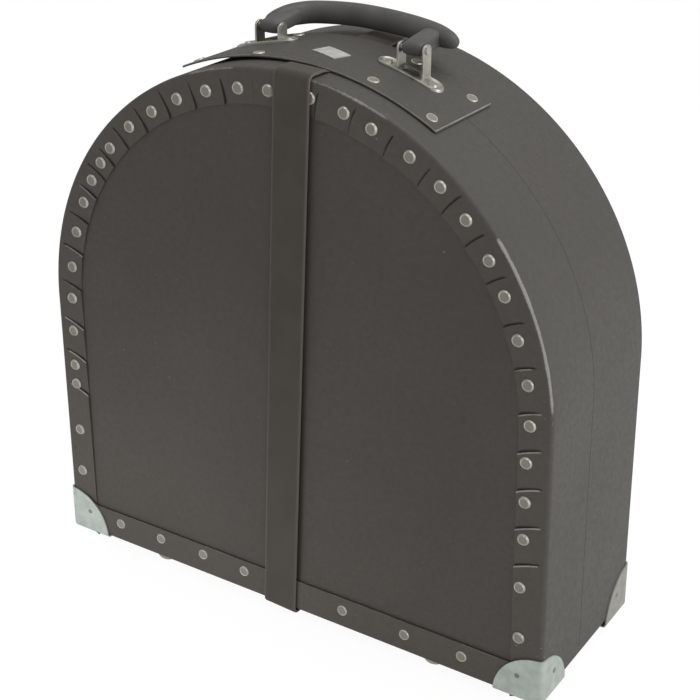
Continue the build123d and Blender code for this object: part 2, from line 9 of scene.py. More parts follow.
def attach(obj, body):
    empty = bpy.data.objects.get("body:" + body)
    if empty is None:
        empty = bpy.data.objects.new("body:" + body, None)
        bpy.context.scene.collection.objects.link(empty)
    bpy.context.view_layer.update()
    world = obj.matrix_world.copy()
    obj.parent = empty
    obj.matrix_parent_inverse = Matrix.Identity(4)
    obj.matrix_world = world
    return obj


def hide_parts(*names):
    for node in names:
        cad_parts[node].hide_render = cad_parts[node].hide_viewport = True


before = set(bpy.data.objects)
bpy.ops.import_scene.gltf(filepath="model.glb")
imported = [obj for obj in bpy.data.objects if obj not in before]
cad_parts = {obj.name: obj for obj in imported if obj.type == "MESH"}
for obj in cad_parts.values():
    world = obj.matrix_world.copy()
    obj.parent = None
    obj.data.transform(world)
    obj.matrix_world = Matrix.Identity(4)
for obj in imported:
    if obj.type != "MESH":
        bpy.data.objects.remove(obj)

bl_info = {
    "name": "Snare drum case",
    "version": (1, 0),
    "blender": (4, 5, 0),
    "location": "View3D > Sidebar > Drum case",
    "description": "Dresses the riveted fibre drum case: shells, tabs, rivets, webbing, grip and metalwork",
    "category": "Object",
}

# Sizes of the case in millimetres, the same as those of its solids
MM = 0.001
ARC_RADIUS = 215.0
SIDE_HEIGHT = 208.5
FOOT_SPREAD = 4.0
CORNER_RADIUS = 8.0
FLOOR_GAP = 8.0
BOARD = 2.0
FOLD_RADIUS = 3.0
SEAM_GAP = 0.12
LID_DEPTH = 62.5
CASE_DEPTH = 147.0
MIDDLE_Y = -4.95
FRONT_Y = MIDDLE_Y - CASE_DEPTH / 2
REAR_Y = MIDDLE_Y + CASE_DEPTH / 2
SEAM_Y = FRONT_Y + LID_DEPTH
TONGUE_Y = MIDDLE_Y + 20.0
TONGUE_HALF = 103.0
PANEL_SINK = 2.2
PANEL_BACK = 5.2
RIM_INNER = 25.0
BOTTOM_FLAP = 27.0
FOLD_LIP = 0.5
WELD = 0.004
CROWN = SIDE_HEIGHT + ARC_RADIUS
QUARTER = math.pi / 2 * ARC_RADIUS
FLANK = math.atan2(FOOT_SPREAD, SIDE_HEIGHT)

# Handle plate over the crown, its left end trimmed a little, with its rivets as (across, back from the middle)
HANDLE_X = 6.5
PLATE_HALF = 104.4
PLATE_TRIM = 4.0
PLATE_CORNER = 1.0
PLATE_FRONT = MIDDLE_Y - 52.0
PLATE_BACK = MIDDLE_Y + 22.5
PLATE_THICKNESS = 1.5
PLATE_RADIUS = 229.6
PLATE_RISE = 1.3
PLATE_ARC_X = -4.5
PLATE_MIDDLE = CROWN + PLATE_RISE - PLATE_RADIUS
PLATE_RIVETS = (
    (57.5, -41.5), (102.5, -42.3), (102.3, 11.0), (57.5, 14.0),
    (-31.0, -46.0), (-86.0, -42.3), (-86.0, 8.0), (-40.0, 14.0),
)
PIN_HEIGHT = CROWN + 8.2
HANDLE_Y = MIDDLE_Y - 3.0
MOUNT_X = 58.5
MOUNT_LENGTH = 49.0
MOUNT_WIDTH = 15.0
MOUNT_Y = HANDLE_Y - 3.5
MOUNT_FLOOR = 0.9
MOUNT_WINDOW = (13.0, 7.0)
MOUNT_RIVET_REACH = 17.5
EAR_SPACING = 19.5
EAR_HALF = 5.25
EAR_CROWN = 0.72

# Blank label on the plate
LABEL_X = 12.2
LABEL_Y = MIDDLE_Y - 22.5
LABEL_HALF = (11.5, 7.5)
LABEL_TURN = math.radians(-17.0)
LABEL_COLOUR = (0.70, 0.71, 0.67)

# Grip lying back: its lean from upright, its lugs, and its middle line as (across, out from the pins, radius)
GRIP_LEAN = math.radians(84.0)
LUG_HALF = 8.1
LUG_THICK = 4.75
GRIP_SPINE = (
    (-69.0, 9.0, 1.0), (-68.6, 9.8, 3.2), (-66.8, 12.2, 4.9), (-63.8, 18.0, 6.7), (-58.6, 28.6, 7.9),
    (-46.6, 39.0, 8.1), (-20.0, 45.0, 8.2), (6.0, 43.6, 8.2), (33.0, 38.2, 8.1), (55.0, 31.2, 7.8),
    (68.0, 25.8, 6.6), (76.0, 21.4, 4.8), (78.8, 19.6, 3.0), (79.8, 18.8, 0.9),
)

# Pressed corners, their nails and the domed glides
CAP_OUT = 1.1
CAP_METAL = 1.0
CAP_REACH = 38.6
CAP_ROUND = 3.6
CAP_DENT = 0.45
NAIL_IN = 19.0
NAIL_PROFILE = ((2.0, -2.0), (2.0, 0.15), (1.75, 0.45), (1.2, 0.6), (0.8, 0.5), (0.2, 0.45))
GLIDE_X = 127.0
GLIDE_FROM_FACE = 13.0
GLIDE_RADIUS = 10.0
GLIDE_DOME = 7.95

# The strap leans a little to the right; it is pressed down under the plate, and holds the buckle in an eye
STRAP_WIDTH = 29.0
STRAP_THICKNESS = 2.0
STRAP_FOOT_X = -4.7
STRAP_LEAN = math.radians(2.8)
STRAP_BEND = 4.5
STRAP_GAP = 0.3
STRAP_PRESS = 0.75
HEEL_UP = 279.0
BUCKLE_UP = 255.0
EYE_RADIUS = 3.8

# Where the tabs of the front are cut, in degrees from the crown, and below them in millimetres up the side
FRONT_CUTS_LEFT_ARC = (-5.0, -12.5, -20.5, -28.2, -36.0, -43.5, -50.0, -55.0, -60.6, -68.1, -76.1, -84.6)
FRONT_CUTS_RIGHT_ARC = (9.9, 17.9, 26.5, 35.5, 42.5, 50.2, 58.4, 67.2, 75.6, 84.1)
FRONT_CUTS_LEFT_SIDE = (196.6, 167.9, 137.9)
FRONT_CUTS_RIGHT_SIDE = (202.9, 174.2, 144.8, 115.3)

# Rivets of the front: degrees from the crown or height up the side, and how far in from the edge
FRONT_RIVETS_ARC = (
    (-88.5, 15.5), (-80.6, 16.0), (-71.6, 16.2), (-63.6, 15.6), (-57.4, 14.8), (-52.1, 14.4),
    (-47.4, 13.8), (-39.5, 13.4), (-32.0, 14.4), (-24.4, 14.3), (-16.5, 14.4), (-8.5, 14.3),
    (-1.4, 14.5), (8.0, 12.4), (15.7, 12.6), (22.0, 12.6), (30.9, 11.8), (38.7, 11.8), (46.1, 12.4),
    (54.4, 14.2), (61.5, 15.4), (70.1, 17.0), (79.0, 16.4), (87.3, 16.8),
)
FRONT_RIVETS_LEFT = ((185.4, 14.4), (154.8, 13.0), (137.8, 13.0), (95.5, 13.0), (56.5, 12.4))
FRONT_RIVETS_RIGHT = ((189.8, 18.5), (159.8, 18.5), (130.9, 18.5), (92.0, 19.8), (50.2, 19.2))
FRONT_RIVETS_BOTTOM = (
    (-167.0, 17.4), (-124.1, 17.8), (-80.7, 18.4), (-40.0, 17.5), (52.2, 16.1), (106.8, 15.7), (154.8, 16.1),
)
BACK_RIVETS_SIDE = (54.5, 81.8, 109.1)
BACK_RIVETS_BOTTOM = (-141.0, -94.0, -47.0, 47.0, 94.0, 141.0)
BACK_RIVETS_IN = 12.5
BACK_RIVETS_UP = 16.5
BACK_CUT_STEP = 24.0
RIVET_SEAT = 0.75

# Rivets in millimetres: what the Geometry Nodes ask for, and its values on the plate and on the mountings
RIVET_SIZES = ("Head radius", "Rim radius", "Centre radius", "Head height", "Centre depth", "Shank length")
PLATE_RIVET = (4.3, 3.7, 3.3, 0.8, 0.12, 1.3)
MOUNT_RIVET = (3.4, 2.4, 1.8, 1.5, 0.1, 3.0)
RIVET_SIDES = 24
RIVET_WOBBLE = 0.05
HOLLOW_COLOUR = (0.33, 0.31, 0.265)

# Tabs: steps across, open gap at the low end, hairline at the raised end, how deep the low end dips, the least
# slope of a cut in degrees, and where the rim starts above the foot
TAB_ACROSS = 12
TAB_GAP = 0.45
TAB_HAIRLINE = 0.12
TAB_DIP = 1.55
LEAST_CUT_SLOPE = 19.0
RIM_FOOT = 4.0

# Worn stretches of the front's fold as (start, end, strength), in degrees from the crown; past 90 they go on
# in millimetres down the right side. The left side and the rest are worn evenly.
FOLD_WEAR = (
    (-20.0, -8.5, 0.85), (7.0, 24.0, 0.85), (27.0, 50.0, 0.42), (51.5, 84.0, 1.25), (84.0, 118.0, 0.55),
)
LEFT_WEAR = 0.25
LEAST_WEAR = 0.12

# Threads of the webbing to the metre, along and across
RIBS = 620.0
WARP_THREADS = 950.0

# The photograph's camera in metres, and the lamps as (name, place, aim, size, spread in degrees, watts)
CAMERA_AIM = (0.01195, MIDDLE_Y * MM, 0.2024)
CAMERA_DISTANCE = 1.0993
CAMERA_AZIMUTH = math.radians(33.07)
CAMERA_ELEVATION = math.radians(25.70)
CAMERA_ROLL = math.radians(-0.10)
LAMPS = (
    ("key_lamp", (1.7, 0.1, 0.8), (0.0, 0.0, 0.2), 1.2, 180.0, 8.6),
    ("top_lamp", (0.3, 0.3, 2.2), (0.0, 0.0, 0.2), 1.4, 180.0, 13.0),
    ("fill_lamp", (-0.3, -0.6, 0.06), (-0.1, -0.08, -0.1), 0.3, 60.0, 0.22),
)

HALVES = (("lid", False), ("base", True))


class CaseSettings(bpy.types.PropertyGroup):
    """Sizes and colours of the case that a user would change."""

    band_colour: FloatVectorProperty(
        name="Band", description="Colour of the fibre band and tabs", subtype="COLOR",
        default=(0.106, 0.100, 0.088),
    )
    # The rim is the band's fibre, drawn a little darker than the band as painted shade.
    rim_shaded_colour: FloatVectorProperty(
        name="Rim", description="Colour of the cut tabs and flaps", subtype="COLOR",
        default=(0.104, 0.093, 0.081),
    )
    face_colour: FloatVectorProperty(
        name="Face", description="Colour of the flat fibre faces", subtype="COLOR",
        default=(0.092, 0.079, 0.069),
    )
    wear_colour: FloatVectorProperty(
        name="Wear", description="Colour of the fibre where its skin is rubbed off", subtype="COLOR",
        default=(0.41, 0.40, 0.37),
    )
    strap_colour: FloatVectorProperty(
        name="Webbing", description="Colour of the woven strap", subtype="COLOR",
        default=(0.088, 0.076, 0.065),
    )
    grip_colour: FloatVectorProperty(
        name="Grip", description="Colour of the moulded grip", subtype="COLOR",
        default=(0.125, 0.123, 0.117),
    )
    nickel_colour: FloatVectorProperty(
        name="Nickel", description="Colour of the plated fittings", subtype="COLOR",
        default=(0.66, 0.65, 0.58),
    )
    zinc_colour: FloatVectorProperty(
        name="Zinc", description="Colour of the pressed corners", subtype="COLOR",
        default=(0.62, 0.69, 0.63),
    )
    rivet_radius: FloatProperty(
        name="Rivet head", description="Radius of the rim's rivet heads", unit="LENGTH", default=4.6 * MM
    )
    rivet_height: FloatProperty(
        name="Rivet height", description="How far the rivet heads stand up", unit="LENGTH", default=1.5 * MM
    )
    back_cuts: IntProperty(
        name="Tabs of the back", description="Number of cut tabs on the back's half circle",
        min=8, max=60, default=23,
    )


def settings():
    """The case's settings in the open scene."""
    return bpy.context.scene.case_settings


# Meshes

def add_piece(name, vertices, faces, material, crease=None, weld=0.0, uvs=None, floats=None):
    """Makes a mesh object from places in millimetres, smooth up to a crease angle where one is given."""
    mesh = bpy.data.meshes.new(name)
    mesh.from_pydata([tuple(c * MM for c in v) for v in vertices], [], faces)
    for key, values in (floats or {}).items():
        mesh.attributes.new(key, "FLOAT", "POINT").data.foreach_set("value", values)
    if uvs is not None:
        layer = mesh.uv_layers.new(name="UVMap")
        for loop in mesh.loops:
            layer.data[loop.index].uv = uvs[loop.vertex_index]
    shell = bmesh.new()
    shell.from_mesh(mesh)
    bmesh.ops.recalc_face_normals(shell, faces=shell.faces)
    if weld:
        bmesh.ops.remove_doubles(shell, verts=shell.verts, dist=weld * MM)
        bmesh.ops.recalc_face_normals(shell, faces=shell.faces)
    shell.to_mesh(mesh)
    shell.free()
    mesh.materials.append(material)
    piece = bpy.data.objects.new(name, mesh)
    bpy.context.scene.collection.objects.link(piece)
    if crease:
        smooth_by_angle(piece, crease)
    return piece


def smooth_by_angle(piece, degrees):
    """Smooth shading with creases where faces meet at more than the angle."""
    mesh = piece.data
    limit = math.radians(degrees)
    soft = bmesh.new()
    soft.from_mesh(mesh)
    for face in soft.faces:
        face.smooth = True
    for edge in soft.edges:
        edge.smooth = len(edge.link_faces) == 2 and edge.calc_face_angle(0.0) < limit
    soft.to_mesh(mesh)
    soft.free()


def place(piece, body, slot, *nodes):
    """Gives a finished piece its body and hides the solids that it stands for; the slot is not used."""
    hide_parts(*nodes)
    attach(piece, body)


def dress(node, material):
    """Gives a solid of the frame its finish."""
    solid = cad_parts[node]
    solid.data.materials.clear()
    solid.data.materials.append(material)


def grid_faces(rows, columns, offset=0, closed_rows=False, closed_columns=False):
    """Faces of a grid of vertices laid out row by row."""
    faces = []
    for row in range(rows if closed_rows else rows - 1):
        for column in range(columns if closed_columns else columns - 1):
            a = offset + row * columns + column
            b = offset + row * columns + (column + 1) % columns
            c = offset + (row + 1) % rows * columns + (column + 1) % columns
            d = offset + (row + 1) % rows * columns + column
            faces.append((a, b, c, d))
    return faces


def tube_faces(rings, sides, base=0):
    """Faces of a tube of rings with both of its ends filled."""
    faces = grid_faces(rings, sides, base, closed_columns=True)
    faces.append(tuple(base + n for n in range(sides)))
    faces.append(tuple(base + (rings - 1) * sides + n for n in reversed(range(sides))))
    return faces


def sheet_faces(lines, columns, base=0):
    """Faces of a sheet made of two layers of one grid, closed round its rim."""
    shift = lines * columns
    faces = grid_faces(lines, columns, base)
    faces += [tuple(reversed(f)) for f in grid_faces(lines, columns, base + shift)]
    rim = [base + n * columns for n in range(lines)]
    rim += [base + (lines - 1) * columns + n for n in range(1, columns)]
    rim += [base + n * columns + columns - 1 for n in reversed(range(lines - 1))]
    rim += [base + n for n in reversed(range(1, columns - 1))]
    return faces + [(a, b, b + shift, a + shift) for a, b in zip(rim, rim[1:] + rim[:1])]


def smoothstep(low, high, value):
    """Goes softly from 0 at low to 1 at high."""
    t = min(1.0, max(0.0, (value - low) / (high - low)))
    return t * t * (3 - 2 * t)


# The D of the case

def face_and_way(mirror):
    """Where a half's flat face lies across the depth, and the direction from there into the case."""
    return (REAR_Y, -1) if mirror else (FRONT_Y, 1)


def rim_place(station, inset):
    """Point on a face at a distance along the edge from the crown, drawn in by inset."""
    side = 1 if station >= 0 else -1
    along = abs(station)
    if along <= QUARTER:
        angle = along / ARC_RADIUS
        reach = ARC_RADIUS - inset
        return (side * reach * math.sin(angle), SIDE_HEIGHT + reach * math.cos(angle))
    height = SIDE_HEIGHT - (along - QUARTER)
    spread = FOOT_SPREAD * (1 - height / SIDE_HEIGHT)
    return (side * (ARC_RADIUS - inset + spread), height)


def arc_station(degrees):
    """Distance along the edge for an angle from the crown."""
    return math.radians(degrees) * ARC_RADIUS


def side_station(height, side):
    """Distance along the edge for a height up the straight side."""
    return side * (QUARTER + SIDE_HEIGHT - height)


def outline_stations(arc_steps, side_steps, foot_steps):
    """Places round the D with their outward directions, from the middle of the foot to the right."""
    climb = CORNER_RADIUS * (1 + math.sin(FLANK)) / math.cos(FLANK)
    corner_x = ARC_RADIUS + FOOT_SPREAD - climb * math.sin(FLANK) - CORNER_RADIUS * math.cos(FLANK)
    half = []
    for n in range(foot_steps):
        half.append((corner_x * n / foot_steps, 0.0, 0.0, -1.0))
    for n in range(7):
        angle = -math.pi / 2 + (math.pi / 2 + FLANK) * n / 6
        out = (math.cos(angle), math.sin(angle))
        half.append((corner_x + CORNER_RADIUS * out[0], CORNER_RADIUS + CORNER_RADIUS * out[1], *out))
    low_x, low_z = half[-1][0], half[-1][1]
    for n in range(1, side_steps):
        t = n / side_steps
        half.append((low_x + (ARC_RADIUS - low_x) * t, low_z + (SIDE_HEIGHT - low_z) * t, *half[-1][2:]))
    for n in range(arc_steps):
        angle = math.pi / 2 * n / arc_steps
        out = (math.cos(angle), math.sin(angle))
        half.append((ARC_RADIUS * out[0], SIDE_HEIGHT + ARC_RADIUS * out[1], *out))
    crown = [(0.0, CROWN, 0.0, 1.0)]
    left = [(-x, z, -nx, nz) for x, z, nx, nz in reversed(half[1:])]
    return half + crown + left


def with_tongue_steps(stations):
    """The same places with a close pair at each side of the lid's tongue."""
    result = []
    for n, station in enumerate(stations):
        before = stations[n - 1]
        for side in (1, -1):
            edge = side * TONGUE_HALF
            crosses = (before[0] - edge) * (station[0] - edge) < 0
            if crosses and min(before[1], station[1]) > SIDE_HEIGHT:
                for x in (edge + 0.02, edge - 0.02):
                    out = (x / ARC_RADIUS, math.sqrt(1 - (x / ARC_RADIUS) ** 2))
                    result.append((x, SIDE_HEIGHT + ARC_RADIUS * out[1], *out))
        result.append(station)
    return result


def fold_wear(x, z, depth_in_fold):
    """How far the skin is rubbed off along the front's fold, by listed stretches."""
    if z < SIDE_HEIGHT and x < 0:
        return LEFT_WEAR
    angle = math.degrees(math.atan2(x, z - SIDE_HEIGHT)) if z > SIDE_HEIGHT else 90 + SIDE_HEIGHT - z
    worn = LEAST_WEAR
    for low, high, most in FOLD_WEAR:
        here = smoothstep(low - 1.5, low + 1.5, angle) * (1 - smoothstep(high - 2, high + 3, angle))
        worn = max(worn, most * here)
    return worn * depth_in_fold


def make_band(name, mirror, material, worn):
    """Band of one half with its folded edge; the lid's runs back as a tongue under the handle plate."""
    face_y, way = face_and_way(mirror)
    stations = with_tongue_steps(outline_stations(180, 60, 40))
    fold_steps = 9
    vertices, wear_and_shade_values = [], []
    for x, z, nx, nz in stations:
        in_tongue = abs(x) < TONGUE_HALF and z > SIDE_HEIGHT
        seam = TONGUE_Y if in_tongue else SEAM_Y
        depth = (REAR_Y - seam - SEAM_GAP) if mirror else (seam - FRONT_Y)
        profile = [(0.35, depth, 0.5), (0.0, depth - 0.35, 0.3), (0.0, depth - 1.2, 0.0)]
        profile.append((0.0, FOLD_LIP + FOLD_RADIUS + 6, 0.0))
        for n in range(fold_steps):
            turn = math.pi / 2 * n / (fold_steps - 1)
            crest = math.exp(-((math.degrees(turn) - 45) / 30) ** 2)
            inset = FOLD_RADIUS * (1 - math.cos(turn))
            profile.append((inset, FOLD_LIP + FOLD_RADIUS * (1 - math.sin(turn)), crest))
        profile.append((FOLD_RADIUS, FOLD_LIP + 1.6, 0.0))
        profile.append((BOARD, FOLD_LIP + FOLD_RADIUS, 0.0))
        profile.append((BOARD, depth, 0.0))
        for inset, y, crest in profile:
            vertices.append((x - inset * nx, face_y + way * y, z - inset * nz + FLOOR_GAP))
            wear_and_shade_values.append(fold_wear(x, z, crest) if worn else 0.3 * crest)
    faces = grid_faces(len(stations), len(profile), closed_rows=True, closed_columns=True)
    return add_piece(name, vertices, faces, material, 40, floats={"wear_and_shade": wear_and_shade_values})


def make_panel(name, mirror, material):
    """Flat board that closes one half."""
    face_y, way = face_and_way(mirror)
    stations = outline_stations(90, 20, 20)
    inset = BOARD + STRAP_GAP
    vertices = []
    for y in (PANEL_SINK, PANEL_BACK):
        for x, z, nx, nz in stations:
            vertices.append((x - inset * nx, face_y + way * y, z - inset * nz + FLOOR_GAP))
    return add_piece(name, vertices, tube_faces(2, len(stations)), material)


def cut_slant(station):
    """How much more a cut slopes than the radius does there, as a tangent."""
    radial = max(0.0, 90 - math.degrees(abs(station) / ARC_RADIUS))
    extra = max(0.0, LEAST_CUT_SLOPE - radial)
    return math.tan(math.radians(extra)) * (1 if station >= 0 else -1)


def cut_line(station, inset, slit_start, bow):
    """Distance along the edge of a cut at inset, with a slight bow."""
    t = max(0.0, (inset - slit_start) / (RIM_INNER - slit_start))
    away = 1 if station >= 0 else -1
    return station + cut_slant(station) * (inset - FOLD_RADIUS) - away * bow * 4 * t * (1 - t)


def tab_steps(length):
    """Steps along a tab as fractions, close together at its two cut ends."""
    places = [0.0, 0.5, 1.5, 3.5] + [3.5 + (length - 6.5) * n / 6 for n in range(1, 7)]
    places += [length - 1.5, length - 1.05, length - 0.4, length]
    return [p / length for p in places]


def make_tab_sheet(low, high, face_y, way, lift, slit_start, bow, light, vertices, faces, wear_and_shade_values):
    """One tab between two cuts: level with the fold outside, low at one end and raised at the other."""
    base = len(vertices)
    length = abs(high - low)
    steps = tab_steps(length)
    for layer in range(2):
        for n in range(TAB_ACROSS + 1):
            u = n / TAB_ACROSS
            inset = FOLD_RADIUS + u * (RIM_INNER - FOLD_RADIUS)
            free = smoothstep(slit_start, RIM_INNER, inset)
            opened = smoothstep(slit_start, slit_start + 1.5, inset)
            start = cut_line(low, inset, slit_start, bow)
            end = cut_line(high, inset, slit_start, bow)
            way_up = 1 if end >= start else -1
            start += way_up * TAB_GAP * opened
            end -= way_up * TAB_HAIRLINE * opened
            for v in steps:
                station = start + (end - start) * v
                x, z = rim_place(station, inset)
                target = TAB_DIP - (TAB_DIP - lift) * v ** 1.4
                top = FOLD_LIP + free * (target - FOLD_LIP)
                y = top if layer == 0 else PANEL_SINK + 0.3
                vertices.append((x, face_y + way * y, z + FLOOR_GAP))
                edge = light * smoothstep(length - 1.3, length - 1.0, v * length) * opened
                # Painted shade: the low end of each tab, which dips under its neighbour's raised edge, is
                # darkened.
                dark = -0.9 * (1 - smoothstep(0.5, 1.5, v * length)) * opened
                inner_edge = 0.3 * smoothstep(RIM_INNER - 1.4, RIM_INNER - 0.4, inset)
                # The tab's under layer is given painted shade.
                wear_and_shade_values.append((max(edge, inner_edge) + dark) if layer == 0 else -0.6)
    faces += sheet_faces(TAB_ACROSS + 1, len(steps), base)


def make_flap(face_y, way, vertices, faces, wear_and_shade_values):
    """Bottom flap, folded over the side flaps, with its upper edge a little worn."""
    base = len(vertices)
    foot = ARC_RADIUS + FOOT_SPREAD - FOLD_RADIUS
    levels = (FOLD_RADIUS, 8.0, 14.0, BOTTOM_FLAP - 1.2, BOTTOM_FLAP - 0.5, BOTTOM_FLAP)
    across = 24
    for layer in range(2):
        for level in levels:
            if layer == 0:
                y = FOLD_LIP - 0.3 + 0.2 * smoothstep(BOTTOM_FLAP - 4, BOTTOM_FLAP, level)
                wear_and_shade = 0.75 * smoothstep(BOTTOM_FLAP - 0.9, BOTTOM_FLAP - 0.1, level)
            else:
                # The flap's under layer is given painted shade.
                y, wear_and_shade = 1.6, -0.4
            for n in range(across + 1):
                x = (2 * n / across - 1) * (foot - level * 0.02)
                sag = 0.35 * noise.noise(Vector((x * 0.02, level * 0.1, 3.0))) if level > 20 else 0.0
                vertices.append((x, face_y + way * y, level + sag + FLOOR_GAP))
                wear_and_shade_values.append(wear_and_shade)
    faces += sheet_faces(len(levels), across + 1, base)


def front_cuts():
    """Stations of the front's cuts, from the lowest on the right over the crown to the lowest on the left."""
    right = [side_station(h, 1) for h in reversed(FRONT_CUTS_RIGHT_SIDE)]
    right += [arc_station(d) for d in reversed(FRONT_CUTS_RIGHT_ARC)]
    left = [arc_station(d) for d in FRONT_CUTS_LEFT_ARC]
    left += [side_station(h, -1) for h in FRONT_CUTS_LEFT_SIDE]
    return right + left


def back_cuts():
    """Stations of the cuts on the back, evenly round the half circle and three down each side."""
    count = settings().back_cuts
    arc = [arc_station(90 - 180 * n / count) for n in range(count + 1)]
    right = [side_station(SIDE_HEIGHT - BACK_CUT_STEP * n, 1) for n in (3, 2, 1)]
    left = [side_station(SIDE_HEIGHT - BACK_CUT_STEP * n, -1) for n in (1, 2, 3)]
    return right + arc + left


def tab_light(number, high):
    """How bright the bare edge of a tab's cut shows: most down the sides, and nothing by the strap."""
    degrees = math.degrees(high / ARC_RADIUS)
    if abs(degrees) <= 8:
        return 0.0
    light = 1.0 if abs(degrees) > 78 else (0.55 if degrees < 0 or degrees > 62 else 0.3)
    return light + 0.5 * noise.noise(Vector((number * 0.9, 5.0, 2.0)))


def make_tabs(name, mirror, material):
    """Rim of one face: cut tabs, two long side flaps and the bottom flap."""
    face_y, way = face_and_way(mirror)
    foot = side_station(RIM_FOOT, 1)
    ends = [foot] + (back_cuts() if mirror else front_cuts()) + [-foot]
    vertices, faces, wear_and_shade_values = [], [], []
    for n, (right_end, left_end) in enumerate(zip(ends, ends[1:])):
        on_right = right_end + left_end > 0
        low, high = (right_end, left_end) if on_right else (left_end, right_end)
        roll = noise.noise(Vector((n * 1.7, 0.3, 8.0 if mirror else 1.0)))
        lift = 0.25 + 0.3 * roll
        slit_start = 5.5 + 3.0 * roll
        if on_right and arc_station(50) < abs(high) < arc_station(88):
            slit_start += 3.0
        bow = 0.5 + 0.9 * abs(roll)
        light = tab_light(n, high)
        make_tab_sheet(low, high, face_y, way, lift, slit_start, bow, light, vertices, faces, wear_and_shade_values)
    make_flap(face_y, way, vertices, faces, wear_and_shade_values)
    return add_piece(name, vertices, faces, material, 35, floats={"wear_and_shade": wear_and_shade_values})


# Node helpers

def link(tree, source, target):
    """Feeds an input socket from an output socket, or sets it to a number, a word or a colour."""
    if isinstance(source, bpy.types.NodeSocket):
        tree.links.new(source, target)
    elif target.type == "RGBA":
        target.default_value = (*source, 1.0)
    else:
        target.default_value = source


def fill(tree, node, inputs):
    """Feeds the inputs of a node, each by its name or place."""
    for key, source in inputs.items():
        link(tree, source, node.inputs[key])


def new_node(tree, kind, **values):
    """Adds a node and sets its properties."""
    node = tree.nodes.new(kind)
    for key, value in values.items():
        setattr(node, key, value)
    return node


def made(tree, kind, output, inputs, **values):
    """Adds a node with its properties and inputs, and gives back one of its outputs."""
    node = new_node(tree, kind, **values)
    fill(tree, node, inputs)
    return node.outputs[output]


def attribute_value(tree, name):
    """A named attribute of the mesh."""
    return new_node(tree, "ShaderNodeAttribute", attribute_name=name).outputs["Fac"]


def noise_node(tree, coordinates, scale, detail=2.0, roughness=0.5):
    """Noise over the piece's own coordinates."""
    inputs = {"Vector": coordinates, "Scale": scale, "Detail": detail, "Roughness": roughness}
    return made(tree, "ShaderNodeTexNoise", "Fac", inputs)


def map_range(tree, value, from_low, from_high, to_low, to_high):
    """Maps a value from one range to another, held at its ends."""
    inputs = {"Value": value, "From Min": from_low, "From Max": from_high, "To Min": to_low, "To Max": to_high}
    return made(tree, "ShaderNodeMapRange", "Result", inputs, clamp=True)


def math_node(tree, operation, a, b=0.0):
    """Math on one or two values, each a socket or a number."""
    return made(tree, "ShaderNodeMath", 0, {0: a, 1: b}, operation=operation)


def mix_colour(tree, factor, a, b):
    """Mixes two colours, each a socket or a colour."""
    return made(tree, "ShaderNodeMix", 2, {0: factor, 6: a, 7: b}, data_type="RGBA")


def scaled(colour, factor):
    """The colour, lighter or darker by a factor."""
    return tuple(min(1.0, c * factor) for c in colour)


def toned(tree, pattern, low, high, colour, dark, light):
    """The colour, going from a darker to a lighter tone as a pattern goes from low to high."""
    share = map_range(tree, pattern, low, high, 0.0, 1.0)
    return mix_colour(tree, share, scaled(colour, dark), scaled(colour, light))


def new_material(name):
    """A fresh material: its tree, its shader and the piece's own coordinates."""
    material = bpy.data.materials.new(name)
    material.use_nodes = True
    tree = material.node_tree
    shader = tree.nodes["Principled BSDF"]
    coordinates = new_node(tree, "ShaderNodeTexCoord").outputs["Object"]
    return material, tree, shader, coordinates


def set_bump(tree, shader, height, strength, distance):
    """Small relief from a height."""
    inputs = {"Strength": strength, "Distance": distance, "Height": height}
    link(tree, made(tree, "ShaderNodeBump", "Normal", inputs), shader.inputs["Normal"])


def fibre_material(name, colour, wear_colour, worn):
    """Vulcanised fibre: satin, faintly mottled, paler where the skin is rubbed off, with painted shade in the
    cuts and under the tabs and flaps.
    """
    material, tree, shader, coordinates = new_material(name)
    cloud = noise_node(tree, coordinates, 9.0, 3.0)
    fine = noise_node(tree, coordinates, 260.0, 2.0)
    tone = toned(tree, cloud, 0.3, 0.7, colour, 0.93, 1.07)
    tone = mix_colour(tree, map_range(tree, fine, 0.3, 0.7, 0.0, 0.35), tone, scaled(colour, 0.82))
    specks = map_range(tree, noise_node(tree, coordinates, 420.0, 1.0), 0.73, 0.78, 0.0, 0.5)
    areas = map_range(tree, noise_node(tree, coordinates, 14.0, 2.0), 0.5, 0.62, 0.0, 1.0)
    tone = mix_colour(tree, math_node(tree, "MULTIPLY", specks, areas), tone, wear_colour)
    if worn:
        wear_and_shade = attribute_value(tree, "wear_and_shade")
        streaks = math_node(tree, "MULTIPLY", noise_node(tree, coordinates, 620.0, 4.0, 0.7), 0.85)
        patches = math_node(tree, "MULTIPLY", noise_node(tree, coordinates, 70.0, 2.0), 0.6)
        over = math_node(tree, "SUBTRACT", wear_and_shade, math_node(tree, "ADD", streaks, patches))
        rubbed = math_node(tree, "MULTIPLY", map_range(tree, over, -0.15, 0.3, 0.0, 1.0), 0.9)
        tone = mix_colour(tree, rubbed, tone, wear_colour)
        # Painted shade: where the attribute is negative the fibre is darkened towards a fifth of its colour,
        # in the cuts and under the tabs and flaps.
        tone = mix_colour(tree, map_range(tree, wear_and_shade, -0.9, 0.0, 0.85, 0.0), tone, scaled(colour, 0.22))
    rough = map_range(tree, fine, 0.3, 0.7, 0.5, 0.62)
    fill(tree, shader, {"Base Color": tone, "Roughness": rough, "Specular IOR Level": 0.35})
    relief = math_node(tree, "ADD", cloud, math_node(tree, "MULTIPLY", fine, 0.12))
    set_bump(tree, shader, relief, 0.25, 0.0015)
    return material


